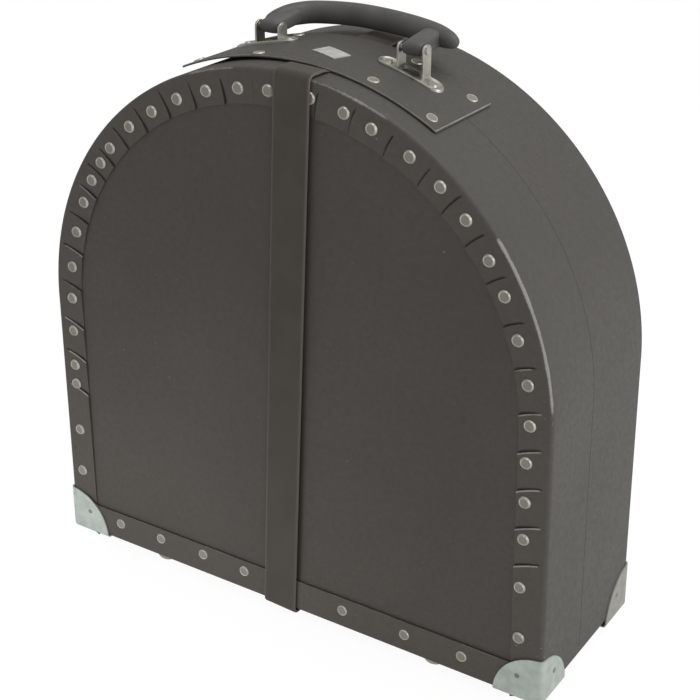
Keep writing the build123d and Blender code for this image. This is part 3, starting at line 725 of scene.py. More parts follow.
def metal_material(name, colour, roughness, metallic, hollow=False):
    """Plated metal, dulled by handling; hollow rivet centres are darker."""
    material, tree, shader, coordinates = new_material(name)
    cloud = noise_node(tree, coordinates, 120.0, 3.0)
    tone = toned(tree, cloud, 0.35, 0.65, colour, 0.8, 1.0)
    if hollow:
        centre = attribute_value(tree, "hollow")
        tone = mix_colour(tree, centre, tone, HOLLOW_COLOUR)
        metallic = map_range(tree, centre, 0.0, 1.0, metallic, 0.35)
        rough = map_range(tree, centre, 0.0, 1.0, roughness, 0.6)
    else:
        rough = map_range(tree, cloud, 0.3, 0.7, roughness, roughness + 0.15)
    fill(tree, shader, {"Base Color": tone, "Metallic": metallic, "Roughness": rough})
    set_bump(tree, shader, noise_node(tree, coordinates, 500.0, 2.0), 0.15, 0.0004)
    return material


def webbing_material(name, colour):
    """Woven webbing: fine ribs across and close warp threads along, from the strap's own map."""
    material, tree, shader, coordinates = new_material(name)
    split = new_node(tree, "ShaderNodeSeparateXYZ")
    link(tree, new_node(tree, "ShaderNodeTexCoord").outputs["UV"], split.inputs[0])
    along = math_node(tree, "MULTIPLY", split.outputs["X"], 2 * math.pi * RIBS)
    across = math_node(tree, "MULTIPLY", split.outputs["Y"], 2 * math.pi * WARP_THREADS)
    weave = math_node(tree, "MULTIPLY", math_node(tree, "SINE", along), math_node(tree, "SINE", across))
    cloud = noise_node(tree, coordinates, 40.0, 3.0)
    tone = toned(tree, weave, -1.0, 1.0, colour, 0.72, 1.2)
    tone = mix_colour(tree, map_range(tree, cloud, 0.35, 0.65, 0.0, 0.3), tone, scaled(colour, 1.35))
    tone = mix_colour(tree, attribute_value(tree, "wear_and_shade"), tone, scaled(colour, 2.1))
    fill(tree, shader, {"Base Color": tone, "Roughness": 0.85})
    fill(tree, shader, {"Specular IOR Level": 0.2, "Sheen Weight": 0.15})
    set_bump(tree, shader, weave, 0.35, 0.0003)
    return material


def grip_material(name, colour):
    """Black moulded grip with a fine leather-like grain."""
    material, tree, shader, coordinates = new_material(name)
    cells = made(tree, "ShaderNodeTexVoronoi", "Distance", {"Vector": coordinates, "Scale": 900.0})
    cloud = noise_node(tree, coordinates, 60.0, 3.0)
    tone = toned(tree, cloud, 0.35, 0.65, colour, 0.88, 1.1)
    fill(tree, shader, {"Base Color": tone, "Roughness": 0.5, "Specular IOR Level": 0.4})
    set_bump(tree, shader, cells, 0.3, 0.0003)
    return material


def case_material(name):
    """The named finish of the case, made when it is first asked for."""
    label = f"case_{name}"
    if label in bpy.data.materials:
        return bpy.data.materials[label]
    look = settings()
    nickel = tuple(look.nickel_colour)
    fibres = {"fibre_band": look.band_colour, "fibre_rim_shaded": look.rim_shaded_colour, "fibre_face": look.face_colour}
    metals = {
        "rivet_nickel": (scaled(nickel, 1.2), 0.38, 0.5),
        "fitting_nickel": (nickel, 0.3, 0.9),
        "corner_zinc": (tuple(look.zinc_colour), 0.45, 0.3),
        "corner_aged": (scaled(nickel, 0.68), 0.5, 0.3),
        # The nails are nickel, drawn at half the fittings' brightness as painted shade round their heads.
        "nail_grey_shaded": (scaled(nickel, 0.5), 0.4, 0.6),
        "label_blank": (LABEL_COLOUR, 0.5, 0.2),
    }
    if name in fibres:
        return fibre_material(label, tuple(fibres[name]), tuple(look.wear_colour), name != "fibre_face")
    if name in metals:
        return metal_material(label, *metals[name], hollow=name == "rivet_nickel")
    if name == "webbing":
        return webbing_material(label, tuple(look.strap_colour))
    if name == "grip_black":
        return grip_material(label, tuple(look.grip_colour))
    raise ValueError(f"no material is called {name}")


# Rivets by Geometry Nodes

def rivet_tree():
    """Geometry Nodes that stand a hollow-headed rivet on each point, facing the point's outward direction."""
    tree = bpy.data.node_groups.new("rivets_on_points", "GeometryNodeTree")
    tree.interface.new_socket("Geometry", in_out="OUTPUT", socket_type="NodeSocketGeometry")
    kinds = [("Geometry", "Geometry")] + [(key, "Float") for key in RIVET_SIZES]
    for key, kind in kinds + [("Seed", "Int"), ("Material", "Material")]:
        tree.interface.new_socket(key, in_out="INPUT", socket_type=f"NodeSocket{kind}")
    inputs = new_node(tree, "NodeGroupInput").outputs

    def cone(bottom, top, depth):
        sizes = {"Vertices": RIVET_SIDES, "Radius Bottom": bottom, "Radius Top": top, "Depth": depth}
        return made(tree, "GeometryNodeMeshCone", "Mesh", sizes, fill_type="NONE")

    def disc(radius):
        sizes = {"Vertices": RIVET_SIDES, "Radius": radius}
        return made(tree, "GeometryNodeMeshCircle", "Mesh", sizes, fill_type="NGON")

    def raised(mesh, height):
        offset = made(tree, "ShaderNodeCombineXYZ", 0, {"Z": height})
        return made(tree, "GeometryNodeTransform", "Geometry", {"Geometry": mesh, "Translation": offset})

    def flipped(mesh):
        return made(tree, "GeometryNodeFlipFaces", "Mesh", {"Mesh": mesh})

    def marked(mesh, value):
        kind = "GeometryNodeStoreNamedAttribute"
        sources = {"Geometry": mesh, "Name": "hollow", "Value": value}
        return made(tree, kind, "Geometry", sources, data_type="FLOAT", domain="CORNER")

    head, rim, centre, height, depth, shank = (inputs[key] for key in RIVET_SIZES)
    floor = math_node(tree, "SUBTRACT", height, depth)
    shank_radius = math_node(tree, "MULTIPLY", centre, 0.5)
    low = math_node(tree, "MULTIPLY", shank, -1.0)
    joined = new_node(tree, "GeometryNodeJoinGeometry")
    for mesh, hollow in (
        (cone(head, rim, height), 0.0),
        (raised(flipped(cone(centre, rim, depth)), floor), 0.35),
        (raised(disc(centre), floor), 1.0),
        (flipped(disc(head)), 0.0),
        (raised(cone(shank_radius, shank_radius, shank), low), 0.0),
        (disc(shank_radius), 0.0),
        (raised(flipped(disc(shank_radius)), low), 0.0),
    ):
        link(tree, marked(mesh, hollow), joined.inputs["Geometry"])
    sources = {"Geometry": joined.outputs["Geometry"], "Distance": 0.01 * MM}
    rivet = made(tree, "GeometryNodeMergeByDistance", "Geometry", sources)

    kind = "GeometryNodeInputNamedAttribute"
    outward = made(tree, kind, "Attribute", {"Name": "outward"}, data_type="FLOAT_VECTOR")
    spread = {"Min": (-RIVET_WOBBLE,) * 3, "Max": (RIVET_WOBBLE,) * 3, "Seed": inputs["Seed"]}
    wobble = made(tree, "FunctionNodeRandomValue", "Value", spread, data_type="FLOAT_VECTOR")
    tilted = made(tree, "ShaderNodeVectorMath", 0, {0: outward, 1: wobble}, operation="ADD")
    turned = made(tree, "FunctionNodeAlignRotationToVector", "Rotation", {"Vector": tilted}, axis="Z")
    sources = {"Points": inputs["Geometry"], "Instance": rivet, "Rotation": turned}
    stood = made(tree, "GeometryNodeInstanceOnPoints", "Instances", sources)
    real = made(tree, "GeometryNodeRealizeInstances", "Geometry", {"Geometry": stood})
    sources = {"Geometry": real, "Material": inputs["Material"]}
    finished = made(tree, "GeometryNodeSetMaterial", "Geometry", sources)
    link(tree, finished, new_node(tree, "NodeGroupOutput").inputs["Geometry"])
    return tree


def rivets_on(name, places, material, seed, sizes):
    """Rivets on places with their outward directions, as one plain mesh; sizes in the order of RIVET_SIZES."""
    tree = bpy.data.node_groups.get("rivets_on_points") or rivet_tree()
    mesh = bpy.data.meshes.new(name + "_points")
    mesh.from_pydata([tuple(c * MM for c in p) for p, _ in places], [], [])
    outward = mesh.attributes.new("outward", "FLOAT_VECTOR", "POINT")
    outward.data.foreach_set("vector", [c for _, n in places for c in n])
    points = bpy.data.objects.new(name + "_points", mesh)
    bpy.context.scene.collection.objects.link(points)
    modifier = points.modifiers.new("rivets", "NODES")
    modifier.node_group = tree
    values = {key: size * MM for key, size in zip(RIVET_SIZES, sizes)}
    values.update({"Seed": seed, "Material": material})
    for item in tree.interface.items_tree:
        if item.in_out == "INPUT" and item.name in values:
            modifier[item.identifier] = values[item.name]
    bpy.context.view_layer.update()
    evaluated = points.evaluated_get(bpy.context.evaluated_depsgraph_get())
    result = bpy.data.meshes.new_from_object(evaluated)
    result.name = name
    bpy.data.objects.remove(points)
    piece = bpy.data.objects.new(name, result)
    bpy.context.scene.collection.objects.link(piece)
    smooth_by_angle(piece, 30)
    return piece


def front_rivet_places():
    """Rivets of the front rim, at measured places."""
    places = []
    for degrees, inset in FRONT_RIVETS_ARC:
        places.append(rim_place(arc_station(degrees), inset))
    for side, rivets in ((-1, FRONT_RIVETS_LEFT), (1, FRONT_RIVETS_RIGHT)):
        for height, inset in rivets:
            places.append(rim_place(side_station(height, side), inset))
    places += list(FRONT_RIVETS_BOTTOM)
    return [((x, FRONT_Y + RIVET_SEAT, z + FLOOR_GAP), (0.0, -1.0, 0.0)) for x, z in places]


def back_rivet_places():
    """Rivets of the back rim, one to a tab and evenly along the flaps."""
    cuts = back_cuts()
    places = [rim_place((a + b) / 2, BACK_RIVETS_IN) for a, b in zip(cuts, cuts[1:])]
    for side in (-1, 1):
        places += [rim_place(side_station(h, side), BACK_RIVETS_IN) for h in BACK_RIVETS_SIDE]
    places += [(x, BACK_RIVETS_UP) for x in BACK_RIVETS_BOTTOM]
    result = []
    for x, z in places:
        strap_x = STRAP_FOOT_X + z * math.tan(STRAP_LEAN)
        if abs(x - strap_x) > STRAP_WIDTH / 2 + 5:
            result.append(((x, REAR_Y - RIVET_SEAT, z + FLOOR_GAP), (0.0, 1.0, 0.0)))
    return result


# Webbing

def bent_path(points, radius, steps=6):
    """Places along a line of straight runs with rounded bends, in the strap's own plane."""
    path = [Vector(points[0])]
    for before, corner, after in zip(points, points[1:], points[2:]):
        before, corner, after = Vector(before), Vector(corner), Vector(after)
        a, b = (before - corner), (after - corner)
        half = a.angle(b) / 2
        if half > math.pi / 2 - 0.01:
            path.append(corner)
            continue
        back = radius / math.tan(half)
        start, end = corner + a.normalized() * back, corner + b.normalized() * back
        centre = corner + (a.normalized() + b.normalized()).normalized() * (radius / math.sin(half))
        for n in range(steps + 1):
            arm = (start - centre).slerp(end - centre, n / steps)
            path.append(centre + arm.normalized() * radius)
    path.append(Vector(points[-1]))
    return path


def spaced(path, gap):
    """The same path with no stretch longer than gap."""
    result = [path[0]]
    for a, b in zip(path, path[1:]):
        count = max(1, math.ceil((b - a).length / gap))
        result += [a.lerp(b, n / count) for n in range(1, count + 1)]
    return result


def webbing_section():
    """Flat section of the webbing with rounded selvedges: across, thickness and how near it is to the edge."""
    half, thick = STRAP_WIDTH / 2, STRAP_THICKNESS / 2
    edge = ((0.0, 0.0, 1.0), (0.25, thick * 0.7, 0.9), (0.9, thick, 0.35), (2.2, thick, 0.0))
    upper = [(-half + x, t, e) for x, t, e in edge]
    upper += [(x, thick, 0.0) for x in (-half / 2, 0.0, half / 2)]
    upper += [(half - x, t, e) for x, t, e in reversed(edge)]
    return upper + [(x, -t, e) for x, t, e in reversed(upper[1:-1])]


def pressed(spot):
    """How far the strap is pressed down where it runs under the handle plate."""
    board = FLOOR_GAP + SIDE_HEIGHT + math.sqrt(ARC_RADIUS**2 - spot.x**2)
    under = smoothstep(PLATE_FRONT - 5.0, PLATE_FRONT - 1.0, spot.y)
    under *= 1.0 - smoothstep(PLATE_BACK + 1.0, PLATE_BACK + 5.0, spot.y)
    return STRAP_PRESS * under * (spot.z - board)


def make_strap(name, path, material):
    """Webbing along a path in the strap's leaning plane, of (depth, height up the strap)."""
    section = webbing_section()
    along = Vector((math.sin(STRAP_LEAN), 0.0, math.cos(STRAP_LEAN)))
    across = Vector((math.cos(STRAP_LEAN), 0.0, -math.sin(STRAP_LEAN)))
    origin = Vector((STRAP_FOOT_X, 0.0, FLOOR_GAP))
    path = spaced(path, 3.0)
    vertices, uvs, wear_and_shade_values = [], [], []
    length = 0.0
    for n, point in enumerate(path):
        before, after = path[max(0, n - 1)], path[min(len(path) - 1, n + 1)]
        tangent = (after - before).normalized()
        normal = Vector((-tangent.y, tangent.x))
        length += (point - path[n - 1]).length if n else 0.0
        for x, t, edge in section:
            spot = point + normal * t
            world = origin + along * spot.y + across * x + Vector((0.0, spot.x, 0.0))
            if world.z > FLOOR_GAP + CROWN - 5.0:
                world.z -= pressed(world)
            vertices.append(tuple(world))
            uvs.append((length * MM, x * MM))
            wear_and_shade_values.append(edge)
    faces = tube_faces(len(path), len(section))
    return add_piece(name, vertices, faces, material, 50, uvs=uvs, floats={"wear_and_shade": wear_and_shade_values})


# Metalwork

def lathe(profile, places, name, material, sides):
    """Turned pieces on places with their outward directions, from a profile of (radius, height)."""
    vertices, faces = [], []
    for spot, outward in places:
        axis = Vector(outward).normalized()
        across = axis.orthogonal().normalized()
        third = axis.cross(across)
        faces += tube_faces(len(profile), sides, len(vertices))
        for r, h in profile:
            for n in range(sides):
                turn = 2 * math.pi * n / sides
                arm = across * math.cos(turn) + third * math.sin(turn)
                vertices.append(tuple(Vector(spot) + axis * h + arm * r))
    return add_piece(name, vertices, faces, material, 35)


def cap_levels():
    """Steps of a cap's grid, close together over its rounded edges."""
    levels = [0.0, 0.7, 1.4, 2.1, 2.9, CAP_ROUND, 5.0, 8.0]
    return [v / CAP_REACH for v in levels] + [0.3, 0.4, 0.5, 0.6, 0.7, 0.8, 0.9, 0.96, 1.0]


def make_cap(name, mirror, side, material):
    """Pressed corner: three quarter-round lobes that meet in rounded edges, with a dent round each nail."""
    face_y, way = face_and_way(mirror)
    levels = cap_levels()
    count = len(levels)
    vertices, faces = [], []
    nail = NAIL_IN + CAP_OUT
    for drop in (0.0, CAP_METAL):
        for u_axis, v_axis, flat_axis in ((0, 1, 2), (1, 2, 0), (2, 0, 1)):
            base = len(vertices)
            for v in levels:
                for u in levels:
                    sharp = [0.0, 0.0, 0.0]
                    sharp[u_axis] = CAP_REACH * u * math.sqrt(1 - v * v / 2)
                    sharp[v_axis] = CAP_REACH * v * math.sqrt(1 - u * u / 2)
                    sharp = Vector(sharp)
                    middle = Vector([max(c, CAP_ROUND) for c in sharp])
                    arm = (sharp - middle).normalized()
                    spot = middle + arm * (CAP_ROUND - drop)
                    if flat_axis != 1:
                        near = (spot[u_axis] - nail) ** 2 + (spot[v_axis] - nail) ** 2
                        spot[flat_axis] += CAP_DENT * math.exp(-near / 14.0)
                    x = ARC_RADIUS + FOOT_SPREAD + CAP_OUT - spot.x - FOOT_SPREAD * spot.y / SIDE_HEIGHT
                    y = face_y + way * (spot.z - CAP_OUT)
                    vertices.append((side * x, y, FLOOR_GAP - CAP_OUT + spot.y))
            faces += grid_faces(count, count, base)
    size = 3 * count * count
    for patch in range(3):
        base = patch * count * count
        outer = [base + row * count + count - 1 for row in range(count)]
        outer += [base + (count - 1) * count + column for column in reversed(range(count - 1))]
        for a, b in zip(outer, outer[1:]):
            faces.append((a, b, b + size, a + size))
    return add_piece(name, vertices, faces, material, 50, WELD)


def nail_spots(mirror):
    """Seats of the nails in the caps of one half."""
    face_y, way = face_and_way(mirror)
    lean = FOOT_SPREAD * NAIL_IN / SIDE_HEIGHT
    foot = ARC_RADIUS + FOOT_SPREAD
    flank = foot + CAP_OUT - CAP_DENT - lean
    up = FLOOR_GAP + NAIL_IN
    result = []
    for side in (-1, 1):
        result.append(((side * (foot - NAIL_IN), face_y - way * (CAP_OUT - CAP_DENT), up), (0.0, -way, 0.0)))
        result.append(((side * flank, face_y + way * NAIL_IN, up), (side, 0.0, 0.0)))
    return result


# Handle plate and its mountings

def plate_place(x, y, lift):
    """Point over the handle plate's under side."""
    radius = PLATE_RADIUS + lift
    return (x, y, PLATE_MIDDLE + FLOOR_GAP + math.sqrt(radius**2 - (x - PLATE_ARC_X) ** 2))


def plate_seats(places, lift):
    """Seats on the handle plate with their outward directions, for places across and back from the middle."""
    seats = []
    for x, y in places:
        radius = PLATE_RADIUS + lift
        lean = (x - PLATE_ARC_X) / radius
        seats.append((plate_place(x, MIDDLE_Y + y, lift), (lean, 0.0, math.sqrt(1 - lean * lean))))
    return seats


def make_label(name, material):
    """Blank plate, bent to the handle plate and turned a little on it."""
    vertices = []
    for lift in (0.05, 0.6):
        for u in (-1.0, -0.5, 0.0, 0.5, 1.0):
            for v in (-1.0, 1.0):
                a, b = u * LABEL_HALF[0], v * LABEL_HALF[1]
                x = LABEL_X + a * math.cos(LABEL_TURN) - b * math.sin(LABEL_TURN)
                y = LABEL_Y + a * math.sin(LABEL_TURN) + b * math.cos(LABEL_TURN)
                vertices.append(plate_place(x, y, PLATE_THICKNESS + lift))
    return add_piece(name, vertices, sheet_faces(5, 2), material)


def make_plate(name, outline, material, bevel):
    """Bent handle plate with a worn, bevelled top edge, from an outline that runs round its middle."""
    middle = Vector((sum(x for x, _ in outline), sum(y for _, y in outline))) / len(outline)
    high = PLATE_THICKNESS
    rings = [(0.0, 0.0, 0.0), (0.0, high - bevel, 1.0), (-bevel * 0.3, high - bevel * 0.3, 1.0)]
    rings += [(-bevel, high, 0.4), (-bevel - 1.0, high, 0.0)]
    vertices, wear_and_shade_values = [], []
    count = len(outline)
    for offset, lift, wear_and_shade in rings:
        for n, (x, y) in enumerate(outline):
            before, after = Vector(outline[n - 1]), Vector(outline[(n + 1) % count])
            along = (after - before).normalized()
            out = Vector((along.y, -along.x))
            if out.dot(Vector((x, y)) - middle) < 0:
                out = -out
            spot = Vector((x, y)) + out * offset
            vertices.append(plate_place(spot.x, spot.y, lift))
            wear_and_shade_values.append(wear_and_shade)
    faces = grid_faces(len(rings), count, closed_columns=True)
    for base in (0, (len(rings) - 1) * count):
        for n in range(count // 2 - 1):
            faces.append((base + n, base + n + 1, base + count - 2 - n, base + count - 1 - n))
    return add_piece(name, vertices, faces, material, 40, WELD, floats={"wear_and_shade": wear_and_shade_values})


def plate_outline():
    """Outline of the handle plate from the middle of its left end round by the front."""
    left, right = HANDLE_X - PLATE_HALF + PLATE_TRIM, HANDLE_X + PLATE_HALF
    run = right - left - 2 * PLATE_CORNER
    steps = 72
    xs = [left, left + 0.15, left + 0.5]
    xs += [left + PLATE_CORNER + run * n / steps for n in range(steps + 1)]
    xs += [right - 0.5, right - 0.15, right]
    front, back = [], []
    for x in xs:
        short = PLATE_CORNER - min(x - left, right - x, PLATE_CORNER)
        pull = PLATE_CORNER - math.sqrt(max(0.0, PLATE_CORNER**2 - short**2))
        front.append((x, PLATE_FRONT + pull))
        back.append((x, PLATE_BACK - pull))
    return front + back[::-1]


def stadium(middle_x, length, width, steps=10):
    """Round-ended outline about a mounting's middle, ordered from its left tip round by the front."""
    radius = width / 2
    reach = length / 2 - radius
    front = []
    for n in range(steps + 1):
        turn = math.pi / 2 * n / steps
        front.append((middle_x - reach - radius * math.cos(turn), MOUNT_Y - radius * math.sin(turn)))
    for n in range(1, 8):
        front.append((middle_x - reach + 2 * reach * n / 8, MOUNT_Y - radius))
    for n in range(steps + 1):
        turn = math.pi / 2 * n / steps
        front.append((middle_x + reach + radius * math.sin(turn), MOUNT_Y - radius * math.cos(turn)))
    back = [(x, 2 * MOUNT_Y - y) for x, y in front[1:-1]]
    return front + back[::-1]


def make_mount(name, middle_x, material):
    """Mounting: a dished base plate with a raised rim and a window, and two round-topped ears."""
    top = PLATE_THICKNESS + 0.05
    rings = []
    for inset, lift in ((0.0, 0.0), (0.0, 1.2), (0.4, 1.7), (1.1, 1.7), (1.6, 1.3), (2.0, MOUNT_FLOOR)):
        outline = stadium(middle_x, MOUNT_LENGTH - 2 * inset, MOUNT_WIDTH - 2 * inset)
        rings.append([plate_place(x, y, top + lift) for x, y in outline])
    window = stadium(middle_x, *MOUNT_WINDOW)
    rings += [[plate_place(x, y, top + lift) for x, y in window] for lift in (MOUNT_FLOOR, 0.0)]
    vertices = [v for ring in rings for v in ring]
    faces = grid_faces(len(rings), len(window), closed_rows=True, closed_columns=True)
    top_z = FLOOR_GAP + PIN_HEIGHT
    for ear_x in (middle_x - EAR_SPACING / 2, middle_x + EAR_SPACING / 2):
        foot_z = plate_place(abs(ear_x) + 0.75, HANDLE_Y, top + 0.6)[2]
        outline = [(EAR_HALF, foot_z), (EAR_HALF, top_z)]
        for n in range(1, 14):
            turn = math.pi * n / 14
            outline.append((EAR_HALF * math.cos(turn), top_z + EAR_CROWN * EAR_HALF * math.sin(turn)))
        outline += [(-EAR_HALF, top_z), (-EAR_HALF, foot_z)]
        faces += tube_faces(4, len(outline), len(vertices))
        for x, shrink in ((-0.75, 0.3), (-0.45, 0.0), (0.45, 0.0), (0.75, 0.3)):
            factor = (EAR_HALF - shrink) / EAR_HALF
            for y, z in outline:
                height = top_z + (z - top_z) * factor if z > top_z else z
                vertices.append((ear_x + x, HANDLE_Y + y * factor, height))
    return add_piece(name, vertices, faces, material, 35)


# Grip

def curve_through(points, steps):
    """Smooth curve through the points, with so many steps to each stretch."""
    last = len(points) - 1
    curve = []
    for n in range(last):
        a, b, c, d = (Vector(points[min(max(k, 0), last)]) for k in (n - 1, n, n + 1, n + 2))
        for k in range(steps):
            u = k / steps
            spot = 2 * b + (c - a) * u
            spot = spot + (2 * a - 5 * b + 4 * c - d) * u * u
            spot = spot + (3 * b - a - 3 * c + d) * u**3
            curve.append(0.5 * spot)
    curve.append(Vector(points[-1]))
    return curve


def make_grip(name, material):
    """Moulded grip: a bowed bar with tapered noses, and a round-ended lug down to each pin."""
    out = Vector((0.0, math.sin(GRIP_LEAN), math.cos(GRIP_LEAN)))
    side = Vector((0.0, math.cos(GRIP_LEAN), -math.sin(GRIP_LEAN)))
    across = Vector((1.0, 0.0, 0.0))
    pivot = Vector((HANDLE_X, HANDLE_Y, PIN_HEIGHT + FLOOR_GAP))
    ring = 32
    stations = curve_through(GRIP_SPINE, 5)
    vertices = []
    for n, (x, reach, radius) in enumerate(stations):
        before, after = stations[max(0, n - 1)], stations[min(len(stations) - 1, n + 1)]
        slope = math.atan2(after.y - before.y, after.x - before.x)
        normal = out * math.cos(slope) - across * math.sin(slope)
        middle = pivot + across * x + out * reach
        for k in range(ring):
            turn = 2 * math.pi * k / ring
            vertices.append(tuple(middle + (normal * math.cos(turn) + side * math.sin(turn)) * radius))
    faces = tube_faces(len(stations), ring)

    turns = [math.pi * n / 12 for n in range(13)]
    outline = [(-LUG_THICK * math.cos(a), -LUG_THICK * math.sin(a)) for a in turns]
    root = ((1.15, 10.0), (1.2, 26.0), (-1.2, 26.0), (-1.15, 10.0))
    outline += [(LUG_THICK * wide, reach) for wide, reach in root]
    levels = ((1.0, 0.5), (0.93, 0.72), (0.8, 0.87), (0.55, 0.97), (0.2, 1.0))
    levels = [(-LUG_HALF * a, b) for a, b in levels] + [(LUG_HALF * a, b) for a, b in reversed(levels)]
    for mount in (-1, 1):
        faces += tube_faces(len(levels), len(outline), len(vertices))
        for x, shrink in levels:
            for s, o in outline:
                reach = o * shrink if o < 0 else o
                spot = pivot + across * (mount * MOUNT_X + x) + side * s * shrink + out * reach
                vertices.append(tuple(spot))
    return add_piece(name, vertices, faces, material, 40)


# Stage

def light_world(scene):
    """White background for the camera, and a weaker light from all round."""
    world = scene.world or bpy.data.worlds.new("studio")
    scene.world = world
    world.use_nodes = True
    tree = world.node_tree
    rays = new_node(tree, "ShaderNodeLightPath")
    seen = math_node(tree, "MAXIMUM", rays.outputs["Is Camera Ray"], rays.outputs["Is Transmission Ray"])
    strength = map_range(tree, seen, 0.0, 1.0, 0.4, 1.0)
    fill(tree, tree.nodes["Background"], {"Color": (1.0, 1.0, 1.0), "Strength": strength})


def floor_material():
    """White floor that glows for the camera, so that only the shadow shows."""
    material, tree, shader, _ = new_material("floor_white")
    fill(tree, shader, {"Base Color": (0.9, 0.9, 0.9), "Roughness": 0.9, "Specular IOR Level": 0.0})
    rays = new_node(tree, "ShaderNodeLightPath")
    glow = made(tree, "ShaderNodeEmission", 0, {"Strength": 1.1})
    share = map_range(tree, rays.outputs["Is Camera Ray"], 0.0, 1.0, 0.15, 0.85)
    blend = made(tree, "ShaderNodeMixShader", 0, {"Fac": share, 1: shader.outputs[0], 2: glow})
    link(tree, blend, tree.nodes["Material Output"].inputs["Surface"])
    return material


def add_lamp(scene, name, spot, aim, size, spread, power):
    """Square lamp that the camera doesn't see."""
    lamp = bpy.data.lights.new(name, "AREA")
    lamp.energy = power
    lamp.size = size
    lamp.spread = math.radians(spread)
    holder = bpy.data.objects.new(name, lamp)
    holder.location = spot
    holder.visible_camera = False
    holder.rotation_euler = (Vector(aim) - Vector(spot)).to_track_quat("-Z", "Y").to_euler()
    scene.collection.objects.link(holder)


def add_camera(scene):
    """The photograph's camera, as fitted to it."""
    toward = Vector((
        math.sin(CAMERA_AZIMUTH) * math.cos(CAMERA_ELEVATION),
        -math.cos(CAMERA_AZIMUTH) * math.cos(CAMERA_ELEVATION),
        math.sin(CAMERA_ELEVATION),
    ))
    lens = bpy.data.cameras.new("photo_camera")
    lens.lens = 75.0
    lens.sensor_width = 36.0
    camera = bpy.data.objects.new("photo_camera", lens)
    camera.location = Vector(CAMERA_AIM) + toward * CAMERA_DISTANCE
    turn = (-toward).to_track_quat("-Z", "Y") @ Quaternion((0.0, 0.0, 1.0), CAMERA_ROLL)
    camera.rotation_euler = turn.to_euler()
    scene.collection.objects.link(camera)
    scene.camera = camera


# Operators

class CASE_OT_shells(bpy.types.Operator):
    """Make the bands and flat boards of the lid and the base"""

    bl_idname = "drum_case.shells"
    bl_label = "Shells"

    def execute(self, context):
        band, face = case_material("fibre_band"), case_material("fibre_face")
        for half, mirror in HALVES:
            shell = make_band(f"{half}_shell", mirror, band, not mirror)
            place(shell, half, "fibre_band", f"{half}_band")
            board = make_panel(f"{half}_board", mirror, face)
            place(board, half, "fibre_face", f"{half}_panel")
        dress("sleeve", face)
        return {"FINISHED"}


class CASE_OT_tabs(bpy.types.Operator):
    """Make the cut and folded tabs round both faces"""

    bl_idname = "drum_case.tabs"
    bl_label = "Cut tabs"

    def execute(self, context):
        for half, mirror in HALVES:
            # The tabs and flaps take the rim's darker copy of the band's fibre, as painted shade.
            tabs = make_tabs(f"{half}_cut_tabs", mirror, case_material("fibre_rim_shaded"))
            place(tabs, half, "fibre_band", f"{half}_tabs")
        return {"FINISHED"}


class CASE_OT_rivets(bpy.types.Operator):
    """Stand the hollow-headed rivets on both rims"""

    bl_idname = "drum_case.rivets"
    bl_label = "Rivets"

    def execute(self, context):
        material = case_material("rivet_nickel")
        head = settings().rivet_radius / MM
        height = settings().rivet_height / MM
        sizes = (head, head - 0.9, head - 1.5, height, 0.5, 5.4)
        for half, places, seed in (("lid", front_rivet_places(), 3), ("base", back_rivet_places(), 8)):
            rivets = rivets_on(f"{half}_rim_rivets", places, material, seed, sizes)
            place(rivets, half, "nickel", f"{half}_rivets")
        return {"FINISHED"}


class CASE_OT_straps(bpy.types.Operator):
    """Make the webbing strap in its three stretches"""

    bl_idname = "drum_case.straps"
    bl_label = "Webbing"

    def execute(self, context):
        webbing = case_material("webbing")
        up = SIDE_HEIGHT * math.cos(STRAP_LEAN) - STRAP_FOOT_X * math.sin(STRAP_LEAN) + ARC_RADIUS
        top = up + STRAP_GAP + STRAP_THICKNESS / 2
        bottom = -(STRAP_GAP + STRAP_WIDTH / 2 * math.tan(STRAP_LEAN)) - STRAP_THICKNESS / 2
        front = FRONT_Y - STRAP_GAP - STRAP_THICKNESS / 2
        rear = REAR_Y + STRAP_GAP + STRAP_THICKNESS / 2
        heel = rear + EYE_RADIUS
        over = heel + EYE_RADIUS + STRAP_THICKNESS + STRAP_GAP
        outer = rear + STRAP_THICKNESS + STRAP_GAP
        front_path = bent_path([(TONGUE_Y, top), (front, top), (front, bottom), (SEAM_Y, bottom)], STRAP_BEND)
        place(make_strap("strap_over_front", front_path, webbing), "lid", "webbing", "strap_front")
        rear_path = bent_path([(TONGUE_Y + SEAM_GAP, top), (rear, top), (rear, HEEL_UP)], STRAP_BEND)
        for n in range(1, 15):
            turn = math.radians(180 + 250 * n / 14)
            y = heel + EYE_RADIUS * math.cos(turn)
            rear_path.append(Vector((y, HEEL_UP + EYE_RADIUS * math.sin(turn))))
        place(make_strap("strap_to_buckle", rear_path, webbing), "base", "webbing", "strap_rear")
        tail = [
            (SEAM_Y + SEAM_GAP, bottom), (rear, bottom), (rear, BUCKLE_UP + 3), (over, HEEL_UP - 3),
            (over, HEEL_UP + 4), (outer, HEEL_UP + 24), (outer, HEEL_UP + 80),
        ]
        tail_path = bent_path(tail, STRAP_BEND)
        place(make_strap("strap_through_buckle", tail_path, webbing), "base", "webbing", "strap_tail")
        dress("strap_keeper", webbing)
        return {"FINISHED"}


